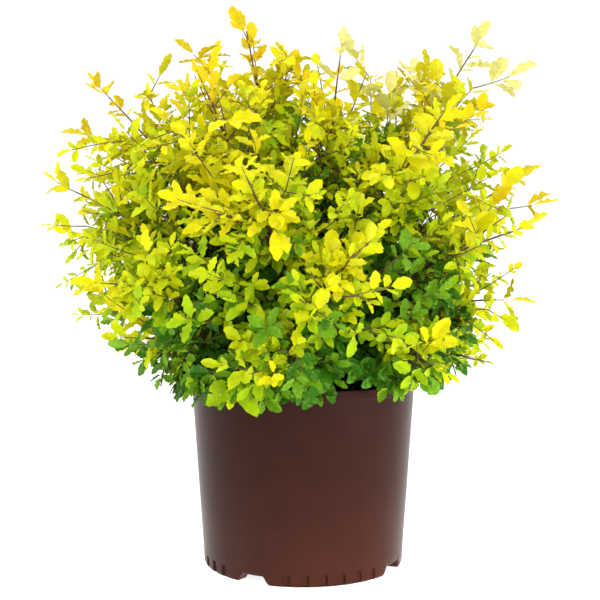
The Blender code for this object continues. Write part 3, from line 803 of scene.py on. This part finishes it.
def leaf_sheet(leaf):
    """The leaf past its neck as a tree of flat faces, for testing what it would cross."""
    u = np.array((LEAF_NECK_AT, LEAF_NECK_AT, LEAF_WIDEST_AT, LEAF_WIDEST_AT, 1.0))
    points = leaf_points(*leaf, u, np.array((-1, 1, 1, -1, 0)))
    return BVHTree.FromPolygons([tuple(p) for p in points], [(0, 1, 2, 3), (3, 2, 4)])


def tube_tree(path, radii):
    """A stem or twig as a tree of flat faces, a little thicker than it is."""
    points, faces = tubes(path[None], (radii + LIMB_CLEARANCE)[None], TWIG_SIDES)
    return BVHTree.FromPolygons(points.tolist(), [row for rows in faces for row in rows.tolist()])


class Growth:
    """The twigs and large leaves of one mass, worked out from its limb by a seeded rule: twigs first, as
    (path, radii), and then leaves, as (root, along, face, length), wherever one fits and crosses nothing."""

    def __init__(self, limb, limbs):
        self.draw = np.random.default_rng([SEED, *limb.name.encode()])
        self.limb = limb
        self.space = Space(limb, limbs)
        self.bulk = limb.reach * BULK_SHARE
        self.twigs = []
        self.leaves = []
        self.obstacles = [tube_tree(*stem_line(limb))]
        for n, node in enumerate(TWIG_NODES):
            self.add_twigs(n, node)
        self.add_leader_leaves()
        self.add_twig_leaves()

    def leaf_length(self, root):
        """Full length of a large leaf that is rooted there."""
        grown = (np.linalg.norm(root - HEART) - LENGTHS_FROM) / LENGTHS_OVER
        return np.interp(grown, (0, 1), LEAF_LENGTHS) * self.draw.uniform(0.92, 1.08)

    def add_leader_leaves(self):
        limb, last = self.limb, self.limb.stem_end()
        root = limb.at(last)
        to_tip = limb.end - root
        self.add_leaf(root, unit(to_tip), np.linalg.norm(to_tip), limb.reach)
        for share in LEADER_PAIRS:
            root = limb.at(last - share)
            self.add_pair(root, limb.ahead(last - share), LEAF_LENGTHS[0], limb.reach)

    def add_twig_leaves(self):
        for path, _ in self.twigs:
            along = unit(path[-1] - path[-2])
            self.add_leaf(path[-1] - along * LEAF_SINK, along, self.leaf_length(path[0]), self.bulk)
        for share in TWIG_PAIRS:
            for path, _ in self.twigs:
                along = unit(path[-1] - path[-2])
                self.add_pair(point_on(path, share), along, self.leaf_length(path[0]), self.bulk)

    def add_twigs(self, n, node):
        start = self.limb.stem_start()
        share = start + (1 - start) * node
        root, along = self.limb.at(share), self.limb.ahead(share)
        out, far = unit(root - HEART), np.linalg.norm(root - HEART)
        across = turned(square_to(along, np.array((0.2, 0.1, 1.0))), along, 45 + n * TWIG_TURN)
        across = turned(across, along, self.draw.normal(0, 9))
        for sense in (1, -1):
            way = turned(along, np.cross(along, across), sense * (TWIG_ANGLE + self.draw.normal(0, 5)))
            full = far * TWIG_REACH_SHARE * self.draw.uniform(0.85, 1.15)
            for shorter in TWIG_SHORTER:
                path, radii = twig_line(root, way, out, full * shorter)
                if self.space.holds(path[1:], TWIG_ROOT_RADIUS, self.bulk):
                    self.twigs.append((path, radii))
                    self.obstacles.append(tube_tree(path, radii))
                    break

    def add_leaf(self, root, along, full, most_far):
        if len(self.leaves) >= MOST_LEAVES:
            return
        look = FACE_OUT * unit(root - HEART) + np.array((0, 0, FACE_UP))
        for n in range(LEAF_TRIES):
            way = unit(along + self.draw.normal(0, TRY_TURN * n**0.5, 3))
            face = square_to(way, look + self.draw.normal(0, FACE_LOOSE, 3))
            leaf = (root, way, face, full * (1 - TRY_SHRINK * n))
            if not self.space.holds(leaf_samples(leaf), LEAF_THICKNESS, most_far):
                continue
            sheet = leaf_sheet(leaf)
            if any(sheet.overlap(other) for other in self.obstacles):
                continue
            self.obstacles.append(sheet)
            self.leaves.append(leaf)
            return

    def add_pair(self, root, along, full, most_far):
        across = square_to(along, self.draw.normal(0, 1, 3))
        for sense in (1, -1):
            way = turned(along, np.cross(along, across), sense * LEAF_PAIR_ANGLE)
            self.add_leaf(root, way, full, most_far)


# Finer growth


class Foliage:
    """All the small leaves, as arrays that grow spray by spray, and the fine twigs that carry them."""

    def __init__(self):
        self.rows = {key: [] for key in ("root", "along", "face", "length", "tone")}
        self.paths = []
        self.twigs = []

    def add(self, root, along, face, length, tone):
        for key, value in zip(self.rows, (root, along, face, length, tone)):
            self.rows[key].append(value)

    def arrays(self):
        return {key: np.concatenate(parts) for key, parts in self.rows.items()}


def lit_face(draw, root, along, ahead, to_sun=SUN_PULL):
    """The way a leaf's upper side looks: outwards, up, along its twig and to the sunny side, loosely."""
    out = unit(root - HEART)
    look = 0.66 * out + np.array((0, -to_sun, 0.45)) + 0.30 * ahead + draw.normal(0, 0.34, root.shape)
    return square_to(along, look)


def pairs_along(draw, path, spacing, size, side, tone, foliage, to_sun=SUN_PULL):
    """Opposite leaves at even nodes of a path, each pair turned about the path from the one before, smaller
    at both ends of it."""
    steps = np.linalg.norm(np.diff(path, axis=0), axis=1)
    run = np.concatenate(([0], np.cumsum(steps)))
    count = max(1, int(round(run[-1] / spacing)))
    at = (np.arange(count) + draw.uniform(0.35, 0.65)) / count * run[-1]
    root = np.stack([np.interp(at, run, path[:, axis]) for axis in range(3)], axis=-1)
    ahead = unit(np.stack([np.interp(at, run, np.gradient(path[:, axis])) for axis in range(3)], axis=-1))
    side = square_to(ahead, np.broadcast_to(side, ahead.shape))
    up = np.cross(ahead, side)
    twist = np.radians(PAIR_TURN * (np.arange(count) % 2) + draw.normal(0, 14, count))[:, None]
    across = side * np.cos(twist) + up * np.sin(twist)
    grown = 0.72 + 0.28 * np.sin(math.pi * np.clip(at / run[-1] * 1.05, 0, 1) ** 0.8)
    for sense in (1, -1):
        angle = np.radians(PAIR_ANGLE + draw.normal(0, 9, count))[:, None]
        along = unit(ahead * np.cos(angle) + sense * across * np.sin(angle))
        face = lit_face(draw, root, along, ahead, to_sun)
        length = draw.uniform(*PAIR_LEAF, count) * grown * size
        foliage.add(root, along, face, length, np.full(count, tone) + draw.normal(0, 0.035, count))


def add_spray(draw, foliage, root, way, face, length, tone, spacing=NODE_SPACING, size=1.0):
    """A fine twig in place of a large leaf, as long as it is, with pairs of leaves and one at its tip."""
    size = size * draw.uniform(*SPRAY_SIZES)
    if tone > TONE_EDGES[3] and draw.uniform() < ROSETTE_SHARE:
        size = ROSETTE_SIZE
        tone += ROSETTE_TONE
    tip = draw.uniform(*TIP_LEAF) * min(1.0, length / 0.055) * size
    run = max(length - 0.92 * tip, 0.35 * length)
    s = np.linspace(0, 1, SPRAY_RINGS)[:, None]
    bow = 0.10 * run * draw.uniform(-0.2, 1)
    path = root + way * run * s + np.array((0, 0, bow)) * s * s
    foliage.paths.append(path)
    pairs_along(draw, path[1:], spacing * size**0.7, size, np.cross(face, way), tone, foliage)
    ahead = unit(path[-1] - path[-2])[None]
    end = path[-1:] - ahead * 0.001
    foliage.add(end, ahead, lit_face(draw, end, ahead, ahead), np.array([tip]), np.array([tone + 0.04]))


def tone_at(point, limb, draw):
    """How golden a spray is: more so the further out and the higher it grows, in soft patches."""
    far = np.linalg.norm(point - HEART) / limb.reach
    high = (point[2] - POT_HEIGHT) / 0.40
    patch = float(ripples(point[None], 0.16, 3, 2)[0])
    low = 1 - eased((point[2] - POT_HEIGHT - 0.02) / 0.13)
    return 0.08 + 0.57 * np.clip(far, 0, 1) ** 1.8 + 0.31 * high - 0.14 * low + 0.15 * patch + draw.normal(0, 0.08)


def room_for(space, leaf, most_far):
    """Whether a spray fits: its outer part lies in its mass's own room or a little past its walls."""
    u, v = np.meshgrid(np.linspace(0.3, 1, 6), (-1, 0, 1))
    return space.holds(leaf_points(*leaf, u.ravel(), v.ravel()), -FILL_PAST_WALLS, most_far)


def add_fill(draw, foliage, growth, root, along, full, angles):
    """Two sprays on opposite sides of a stem or twig, each of them only where it fits."""
    across = square_to(along, draw.normal(0, 1, 3))
    for sense in (1, -1):
        way = turned(along, np.cross(along, across), sense * draw.uniform(*angles))
        length = full * draw.uniform(0.8, 1.15)
        leaf = (root, way, square_to(way, unit(root - HEART) + (0, 0, 0.8)), length)
        if room_for(growth.space, leaf, growth.bulk):
            add_spray(draw, foliage, *leaf, tone_at(root + way * length, growth.limb, draw) - 0.05)


def add_inner(draw, foliage, growth):
    """Shaded sprays of larger leaves along a bough, which keep the middle of the crown from being bare."""
    limb = growth.limb
    for share in INNER_AT + (() if limb.name.startswith("skirt") else HIGH_INNER_AT):
        root, along = limb.at(share), limb.ahead(share)
        across = square_to(along, draw.normal(0, 1, 3))
        for sense in (1, -1):
            way = turned(along, np.cross(along, across), sense * draw.uniform(40, 85))
            face = square_to(way, unit(root - HEART) + (0, 0, 0.6))
            out, height = np.hypot(*(root + way * INNER_LENGTH)[:2]), (root + way * INNER_LENGTH)[2]
            if height > MIX_TOP + 0.012 and (out < RIM_RADIUS - 0.02 or height > POT_HEIGHT + 0.012):
                tone = tone_at(root + way * INNER_LENGTH, limb, draw) + INNER_TONE
                add_spray(draw, foliage, root, way, face, INNER_LENGTH, tone, NODE_SPACING, INNER_SIZE)


def more_twigs(draw, growth):
    """Paths of twigs between those of the solids: opposite pairs at more nodes of the stem, each pair turned
    about it by its own angle, shortened or left out where they don't fit."""
    limb, paths = growth.limb, []
    start = limb.stem_start()
    turns = HEM_TURNS if limb.name.startswith("skirt") else MORE_TURNS
    for node, turn in zip(MORE_NODES, turns):
        share = start + (1 - start) * node
        root, along = limb.at(share), limb.ahead(share)
        out, far = unit(root - HEART), np.linalg.norm(root - HEART)
        across = turned(square_to(along, np.array((0.2, 0.1, 1.0))), along, turn + draw.normal(0, 10))
        for sense in (1, -1):
            way = turned(along, np.cross(along, across), sense * (TWIG_ANGLE + draw.normal(0, 7)))
            full = far * TWIG_REACH_SHARE * draw.uniform(*MORE_TWIG_SHARES)
            for shorter in TWIG_SHORTER:
                path, _ = twig_line(root, way, out, full * shorter)
                if growth.space.holds(path[1:], -FILL_PAST_WALLS, growth.bulk):
                    paths.append(path)
                    break
    return paths


def drape_rim(foliage, growths):
    """Twigs that arch from the skirt limbs over the rim of the pot and hang a little way down outside it,
    with three sprays each. Each path is a quadratic Bezier curve whose middle point lies above the rim."""
    for growth in growths:
        limb = growth.limb
        if not limb.name.startswith("skirt"):
            continue
        draw = np.random.default_rng([SEED, 17, *limb.name.encode()])
        azimuth = math.degrees(math.atan2(limb.end[1] - HEART[1], limb.end[0] - HEART[0]))
        for offset in HEM_OFFSETS:
            turn = azimuth + offset + draw.normal(0, 3)
            root = limb.at(draw.uniform(0.22, 0.42))
            middle = heading(turn, 0) * (RIM_RADIUS + 0.004) + (0, 0, POT_HEIGHT + draw.uniform(0.030, 0.042))
            end = heading(turn, 0) * (RIM_RADIUS + draw.uniform(0.007, 0.013))
            lift = HEM_LIFT * max(0, math.cos(math.radians(turn - HEM_LIFT_AT)))
            end = end + (0, 0, POT_HEIGHT + draw.uniform(0.002, 0.026) + lift)
            s = np.linspace(0, 1, TWIG_RINGS * 3)[:, None]
            path = (1 - s) ** 2 * root + 2 * s * (1 - s) * middle + s * s * end
            if not growth.space.clear_of_pot(path[2:]):
                continue
            foliage.twigs.append(path)
            ahead = unit(path[-1] - path[-2])
            face = square_to(ahead, heading(turn, 25))
            tone = tone_at(end, limb, draw)
            add_spray(draw, foliage, end, unit(ahead + heading(turn, 0) * 0.06), face, 0.034, tone, size=HEM_SIZE)
            side = np.cross(ahead, face)
            for sense in (1, -1):
                angled = unit(ahead + sense * side * draw.uniform(0.8, 1.5) + heading(turn, 10) * 0.08)
                add_spray(draw, foliage, path[-3], angled, face, 0.040, tone, size=HEM_SIZE)


def add_shoots(foliage, limbs):
    """The shoots: each a quadratic Bezier curve that leaves its limb nearly along it, with single leaves in
    pairs from a little way out to its tip."""
    named = {limb.name: limb for limb in limbs}
    draw = np.random.default_rng([SEED, 23])
    s = np.linspace(0, 1, SHOOT_STEPS)[:, None]
    for name, share, azimuth, rise, reach, size, golden in SHOOTS:
        limb = named[name]
        leaf = draw.uniform(*TIP_LEAF) * size
        root, tip = limb.at(share), HEART + heading(azimuth, rise) * (reach - leaf)
        middle = root + limb.ahead(share) * SHOOT_BEND * np.linalg.norm(tip - root)
        path = (1 - s) ** 2 * root + 2 * s * (1 - s) * middle + s * s * tip
        foliage.twigs.append(path)
        tone = tone_at(tip, limb, draw) + golden
        outer = path[int(SHOOT_BARE * SHOOT_STEPS) :]
        spacing, side = SHOOT_SPACING * size**0.6, np.array((0.3, 0.2, 1.0))
        pairs_along(draw, outer, spacing, size, side, tone, foliage, SHOOT_SUN_PULL)
        ahead = unit(path[-1] - path[-2])[None]
        end = path[-1:] - ahead * 0.001
        face = lit_face(draw, end, ahead, ahead, SHOOT_SUN_PULL)
        foliage.add(end, ahead, face, np.array([leaf]), np.array([tone + 0.04]))


def fill_gaps(foliage, growths):
    """Twigs into the gaps between the masses, each with three sprays at its end. A twig is tried at a random
    place and angle, and kept where its end is far enough from every spray so far."""
    taken = np.array([path[-1] for path in foliage.paths])
    kept = 0
    for growth in growths:
        limb = growth.limb
        draw = np.random.default_rng([SEED, 13, *limb.name.encode()])
        thin_from = THIN_OWN.get(limb.name, THIN_FROM[limb.name[:-2]])
        for _ in range(GAP_TRIES):
            share = draw.uniform(*GAP_STARTS)
            root, along = limb.at(share), limb.ahead(share)
            across = square_to(along, draw.normal(0, 1, 3))
            way = turned(along, np.cross(along, across), draw.uniform(*GAP_ANGLES))
            path, _ = twig_line(root, way, unit(root - HEART), draw.uniform(*GAP_LENGTHS))
            ahead = unit(path[-1] - path[-2])
            end, tip = path[-1] + ahead * GAP_APART, path[-1] + ahead * STEM_FILL_LENGTH
            far = np.linalg.norm(tip - HEART) / limb.reach
            if not GAP_REACH[0] < far < min(GAP_REACH[1], thin_from):
                continue
            if tip[2] < HEM_HEIGHT + GAP_HEM_SLOPE * (np.hypot(tip[0], tip[1]) - RIM_RADIUS):
                continue
            if np.linalg.norm(taken - end, axis=1).min() < GAP_APART:
                continue
            if not growth.space.clear_of_pot(np.array([path[1], path[2], end])):
                continue
            kept += 1
            foliage.twigs.append(path)
            face = square_to(ahead, unit(end - HEART) + (0, 0, 0.8))
            tone = tone_at(end, limb, draw)
            add_spray(draw, foliage, path[-1], ahead, face, STEM_FILL_LENGTH, tone)
            side = np.cross(ahead, face)
            for sense in (1, -1):
                angled = unit(ahead + sense * side * draw.uniform(0.6, 1.1))
                base = point_on(path, GAP_FILL_AT)
                if growth.space.clear_of_pot((base + angled * FILL_LENGTH)[None]):
                    add_spray(draw, foliage, base, angled, face, FILL_LENGTH, tone)
            taken = np.concatenate((taken, [end, path[-1]]))
    print("gap twigs", kept)


def grow_finer(growths):
    foliage = Foliage()
    for growth in growths:
        limb = growth.limb
        draw = np.random.default_rng([SEED, 9, *limb.name.encode()])
        gilded = GILDED.get(limb.name, 0.0)
        thin_size = THIN_SIZES.get(limb.name, THIN_SIZE)
        thin_from = THIN_OWN.get(limb.name, THIN_FROM[limb.name[:-2]])
        growth.bulk = min(growth.bulk, limb.reach * thin_from)
        ends = np.array([path[-1] for path, _ in growth.twigs] + [limb.at(limb.stem_end())])
        for root, way, face, length in growth.leaves:
            tip = root + way * length
            far = np.linalg.norm(tip - HEART) / limb.reach
            tone = tone_at(tip, limb, draw) + gilded * eased((far - 0.80) / 0.18)
            pale_from, pale_share = PALE.get(limb.name, NOT_PALE)
            if far > pale_from and draw.uniform() < pale_share:
                tone += PALE_TONE
            if tip[2] < SKIRT_HEM and np.hypot(tip[0], tip[1]) > RIM_RADIUS + 0.02:
                continue
            open_spray = draw.uniform() < OPEN_SHARE
            if far > thin_from and np.linalg.norm(ends - root, axis=1).min() > 2 * LEAF_SINK:
                single = draw.uniform(*SHOOT_LEAF, 1) * thin_size
                foliage.add(root[None], way[None], face[None], single, np.array([tone]))
            elif far > thin_from:
                add_spray(draw, foliage, root, way, face, length, tone, THIN_SPACING, thin_size)
            else:
                spacing = OPEN_SPACING if far > OPEN_FROM and open_spray else NODE_SPACING
                add_spray(draw, foliage, root, way, face, length, tone, spacing)
        for path, _ in growth.twigs:
            along = unit(path[-1] - path[-2])
            for share in FILL_AT:
                add_fill(draw, foliage, growth, point_on(path, share), along, FILL_LENGTH, (40, 75))
            if np.linalg.norm(path[-1] - HEART) > 0.8 * thin_from * limb.reach:
                tone = tone_at(path[-1], limb, draw)
                pairs_along(draw, path, THIN_SPACING, thin_size, square_to(along, (0.2, 0.1, 1)), tone, foliage)
        for share in STEM_FILL_AT:
            add_fill(draw, foliage, growth, limb.at(share), limb.ahead(share), STEM_FILL_LENGTH, (45, 95))
        add_inner(draw, foliage, growth)
        for path in more_twigs(draw, growth):
            foliage.twigs.append(path)
            along = unit(path[-1] - path[-2])
            add_fill(draw, foliage, growth, point_on(path, MORE_AT), along, STEM_FILL_LENGTH, (40, 70))
            leaf = (path[-1], along, square_to(along, unit(path[-1] - HEART) + (0, 0, 0.8)), STEM_FILL_LENGTH)
            if room_for(growth.space, leaf, growth.bulk):
                add_spray(draw, foliage, *leaf, tone_at(path[-1] + along * STEM_FILL_LENGTH, limb, draw))
        shares = np.linspace(limb.stem_start() + 0.22, limb.stem_end() + 0.02, 12)
        stem = limb.at(shares)
        tone = tone_at(stem[-1], limb, draw) + gilded + (PALE_TONE if limb.name in PALE_STEMS else 0)
        pairs_along(draw, stem, LEADER_SPACING, LEADER_SIZE, np.array((0.3, 0.2, 1.0)), tone, foliage)
    add_shoots(foliage, [growth.limb for growth in growths])
    drape_rim(foliage, growths)
    fill_gaps(foliage, growths)
    return foliage


def blade_grid(leaves, draw):
    """Points of the small leaves, an array of (leaf, point, xyz), each of which is a closed blade.

    At a share u of its length a leaf's half width is t to the power 0.70 times 1 - t to the power 0.66, where
    t runs from 0 at the end of its petiole to 1 at its tip. Its margins rise from the midrib by the tangent
    of its fold, and wave up and down and in and out as sines of t. The midrib bends by a parabola. Each
    station has four points: left margin, underside of the midrib, right margin and top of the midrib."""
    count = len(leaves["length"])
    u = np.broadcast_to(STATIONS, (count, len(STATIONS)))
    t = np.clip((u - PETIOLE) / (1 - PETIOLE), 0, 1)
    shape = t**0.70 * (1 - t) ** 0.66
    half = draw.uniform(*LEAF_WIDTHS, (count, 1)) / 2 * shape / (0.5**1.36)
    fold = np.tan(np.radians(draw.uniform(8, 32, (count, 1))))
    curl = draw.uniform(-0.10, 0.26, (count, 1))
    height = np.random.default_rng([SEED, 21]).uniform(0.5, 1.5, (count, 1)) * WAVE_HEIGHT
    middle = -curl * u * u
    body = np.sin(math.pi * t) ** 0.5
    columns = []
    for sense in (1, -1):
        phase = draw.uniform(0, 2 * math.pi, (count, 1))
        wave = np.sin(2 * math.pi * WAVES * t + phase)
        wide = np.maximum(half * (1 + WAVE_WIDTH * np.sin(2 * math.pi * WAVES * t + phase + 1.3)), PETIOLE_HALF)
        rise = middle + wide * fold + height * wave * body
        columns.append(np.stack((u, sense * wide, rise), axis=-1))
    low = np.stack((u, 0 * u, middle - BLADE_THICKNESS * (0.6 + body)), axis=-1)
    top = np.stack((u, 0 * u, middle), axis=-1)
    net = np.stack((columns[0], top, columns[1], low), axis=2).reshape(count, -1, 3)
    ends = np.zeros((count, 2, 3))
    ends[:, 1, 0] = 1
    ends[:, 1, 2] = -curl[:, 0]
    net = np.concatenate((net, ends), axis=1) * leaves["length"][:, None, None]
    side = np.cross(leaves["face"], leaves["along"])
    axes = np.stack((leaves["along"], side, leaves["face"]), axis=1)
    return leaves["root"][:, None] + net @ axes


def outside_pot(points):
    """True for each leaf that has no point in the pot's wall or under the mix."""
    out, height = np.hypot(points[..., 0], points[..., 1]), points[..., 2]
    in_wall = (out > wall_radius(height) - WALL - 0.001) & (out < wall_radius(height) + RIM_STEP + 0.0015)
    in_wall &= height < POT_HEIGHT + 0.001
    in_mix = (out < RIM_RADIUS) & (height < MIX_TOP + 0.0015)
    return ~(in_wall | in_mix).any(axis=1)


def make_leaves(foliage, masses):
    leaves = foliage.arrays()
    draw = np.random.default_rng([SEED, 11])
    points = blade_grid(leaves, draw)
    kept = outside_pot(points)
    group = np.digitize(leaves["tone"], TONE_EDGES)
    stations = len(STATIONS)
    each = stations * 4 + 2
    ring = np.arange(4)
    quads = ring_faces(stations, 4)[:, ::-1]
    under = np.tile(np.array((0, 0, 1, 1)), stations - 1)
    ends = np.concatenate(
        (fan_faces(ring, each - 2), fan_faces(ring + (stations - 1) * 4, each - 1, flip=True))
    )
    under_ends = np.tile(np.array((0, 0, 1, 1)), 2)
    total = 0
    for number, (name, slot, colour) in enumerate(LEAF_CLASSES):
        chosen = points[kept & (group == number)]
        total += len(chosen)
        gloss = 0.14 if slot == "leaf_green" else 0.06
        upper = finish(f"leaf_{name}_upper", colour, 0.45, 0.10, 90, 0.05, specular=gloss)
        pale = [0.82 * c + 0.18 * p for c, p in zip(colour, UNDERSIDE)]
        lower = finish(f"leaf_{name}_under", pale, 0.6, 0.08, 90, specular=0.04)
        replaced = masses if number == 0 else ()
        lots = np.array_split(chosen, -(-len(chosen) // MOST_IN_PIECE))
        for n, lot in enumerate(lots):
            starts = (np.arange(len(lot)) * each)[:, None, None]
            faces = [(quads[None] + starts).reshape(-1, 4), (ends[None] + starts).reshape(-1, 3)]
            sides = np.concatenate((np.tile(under, len(lot)), np.tile(under_ends, len(lot))))
            title = f"leaves_{name}_{n + 1}"
            piece(title, lot.reshape(-1, 3), faces, [upper, lower], replaced, 50, sides)
        print("leaves", name, len(chosen))
    print("leaves in all", total)


# Wood


def bark_relief(points):
    """Fine ridges along the wood: noise that is drawn out by a layer of longer waves."""
    return 0.07 * ripples(points, 0.006, 31, 2) + 0.06 * ripples(points, 0.02, 32, 2)


def make_trunk(bark):
    """Rings along an axis that leans evenly up to the heart: a lobed flare, a waist and a round head, with
    the relief of bark."""
    foot = np.array((0, 0, MIX_TOP - 0.004))
    rise = HEART[2] - MIX_TOP
    levels = np.linspace(-0.004, rise + HEAD_RADIUS * 0.985, 60)
    flare_heights, flare_radii = np.array(TRUNK_FLARE).T
    stalk = np.interp(levels, np.append(flare_heights, 0.030), np.append(flare_radii, 0.0118))
    ball = np.sqrt(np.clip(HEAD_RADIUS**2 - (levels - rise) ** 2, 0, None))
    radii = np.maximum(np.where(levels < rise, stalk, 0), ball)
    columns = 72
    turn = 2 * math.pi * np.arange(columns) / columns
    lean = np.clip(levels / rise, 0, 1)[:, None, None] * np.array((*TRUNK_LEAN, 0))
    lobes = FLARE_LOBE_DEPTH * np.clip(1 - levels / 0.016, 0, 1)[:, None] * np.cos(FLARE_LOBES * turn + 0.6)
    wide = radii[:, None] * (1 + lobes)
    spokes = np.stack((np.cos(turn), np.sin(turn), 0 * turn), axis=-1)
    base = lean + spokes * wide[..., None] + np.array((0, 0, 1)) * (MIX_TOP + levels)[:, None, None]
    base = base + spokes * (wide * bark_relief(base * (1, 1, 0.45)))[..., None]
    points = np.concatenate((base.reshape(-1, 3), [foot, HEART + (0, 0, HEAD_RADIUS)]))
    ring, count = np.arange(columns), len(levels) * columns
    faces = [ring_faces(len(levels), columns)]
    faces.append(fan_faces(ring, count, flip=True))
    faces.append(fan_faces(ring + count - columns, count + 1))
    piece("trunk_bark", points, faces, [bark], ["trunk"], sharp=70)


def make_limbs(limbs, bark):
    """Each bough and the stem that goes on from it, as one tapering tube with a swelling at its root."""
    shares = np.linspace(-0.02, 1, 56)
    for limb in limbs:
        last = limb.stem_end() + 0.03
        path = limb.at(shares * last)
        far = np.clip(shares * last, 0, 1)
        radii = np.interp(far, (0, ENTRY, 1), (BOUGH_ROOT_RADIUS * 1.15, BOUGH_TIP_RADIUS, STEM_TIP_RADIUS * 0.7))
        radii = radii * (1 + 0.12 * np.exp(-(((far - 0.012) / 0.03) ** 2)))
        points, faces = tubes(path[None], radii[None], 12, bark_relief)
        piece(f"limb_{limb.name}", points, faces, [bark], [f"bough_{limb.name}"], sharp=60)


def make_twigs(growths, foliage, twig_bark):
    coarse = foliage.twigs + [path for growth in growths for path, _ in growth.twigs]
    shares = np.linspace(0, 1, TWIG_STEPS)
    paths = np.array([[point_on(path, share) for share in shares] for path in coarse])
    radii = np.broadcast_to(np.linspace(*TWIG_RADII, TWIG_STEPS), paths.shape[:2])
    points, faces = tubes(paths, radii, 7, bark_relief)
    piece("twigs", points, faces, [twig_bark], sharp=60)
    sprays = np.array(foliage.paths)
    thin = np.broadcast_to(np.linspace(*SPRAY_RADII, SPRAY_RINGS), sprays.shape[:2])
    points, faces = tubes(sprays, thin, 5)
    piece("fine_twigs", points, faces, [twig_bark], sharp=60)


# Room, lights and view


def make_floor():
    """A flat disc, wide enough to reach the horizon from every side, that glows with painted light: most beside the
    pot, where it washes out the pot's shadow and lights the pot's foot, and less further out.
    """
    turn = 2 * math.pi * np.arange(FLOOR_SIDES) / FLOOR_SIDES
    rim = np.stack((np.cos(turn), np.sin(turn), 0 * turn), axis=-1) * FLOOR_RADIUS
    mesh = bpy.data.meshes.new("floor")
    mesh.from_pydata(rim.tolist(), [], [list(range(FLOOR_SIDES))])
    paper = finish("paper", (0.90, 0.90, 0.90), 0.9, 0.01, 3, specular=0.1)
    shader = paper.node_tree.nodes["Principled BSDF"]
    # Painted light: the floor glows, more strongly beside the pot, so that no shadow of the pot shows on it and the
    # pot's foot is lit from below
    shader.inputs["Emission Color"].default_value = (1, 1, 1, 1)
    nodes, links = paper.node_tree.nodes, paper.node_tree.links
    place = nodes.new("ShaderNodeTexCoord")
    reach = nodes.new("ShaderNodeVectorMath")
    reach.operation = "LENGTH"
    glow = nodes.new("ShaderNodeMapRange")
    glow.interpolation_type = "SMOOTHSTEP"
    glow.inputs["From Min"].default_value, glow.inputs["From Max"].default_value = PAINTED_GLOW_FADES
    glow.inputs["To Min"].default_value, glow.inputs["To Max"].default_value = FLOOR_PAINTED_GLOW
    links.new(place.outputs["Object"], reach.inputs[0])
    links.new(reach.outputs["Value"], glow.inputs["Value"])
    links.new(glow.outputs["Result"], shader.inputs["Emission Strength"])
    mesh.materials.append(paper)
    made = bpy.data.objects.new("floor", mesh)
    bpy.context.scene.collection.objects.link(made)


def area_light(name, at, aim, width, height, power, spread, gloss):
    """A soft lamp in the shape of an ellipse. One without gloss lights a surface but isn't mirrored in it."""
    lamp = bpy.data.lights.new(name, "AREA")
    lamp.spread = math.radians(spread)
    lamp.shape = "ELLIPSE"
    lamp.size, lamp.size_y = width, height
    lamp.energy = power
    made = bpy.data.objects.new(name, lamp)
    made.visible_camera, made.visible_glossy = False, gloss
    made.location = at
    made.rotation_euler = (Vector(aim) - Vector(at)).to_track_quat("-Z", "Y").to_euler()
    bpy.context.scene.collection.objects.link(made)


def make_lights():
    world = bpy.data.worlds.new("studio")
    world.use_nodes = True
    world.node_tree.nodes["Background"].inputs["Color"].default_value = (1, 1, 1, 1)
    world.node_tree.nodes["Background"].inputs["Strength"].default_value = 1.10
    bpy.context.scene.world = world
    for lamp in LAMPS:
        area_light(*lamp)
    bpy.context.scene.view_settings.view_transform = "Standard"


def make_camera():
    lens = bpy.data.cameras.new("view")
    lens.sensor_width = SENSOR
    lens.lens = SENSOR * FOCAL_PIXELS / FRAME_PIXELS
    made = bpy.data.objects.new("view", lens)
    made.location = CAMERA_AT
    made.rotation_euler = (math.radians(90 + PITCH), 0, math.radians(YAW))
    bpy.context.scene.collection.objects.link(made)
    bpy.context.scene.camera = made


def main():
    make_camera()
    make_lights()
    make_floor()
    make_pot()
    make_mix()
    bark = finish("grey_bark", (0.085, 0.050, 0.032), 0.85, 0.4, 320, 0.5, second=(0.230, 0.150, 0.100))
    twig_bark = finish("young_bark", (0.120, 0.060, 0.030), 0.7, 0.35, 240, 0.3, second=(0.240, 0.130, 0.060))
    make_trunk(bark)
    limbs = all_limbs()
    growths = [Growth(limb, limbs) for limb in limbs]
    foliage = grow_finer(growths)
    make_limbs(limbs, bark)
    make_twigs(growths, foliage, twig_bark)
    make_leaves(foliage, [f"foliage_{limb.name}" for limb in limbs])


main()
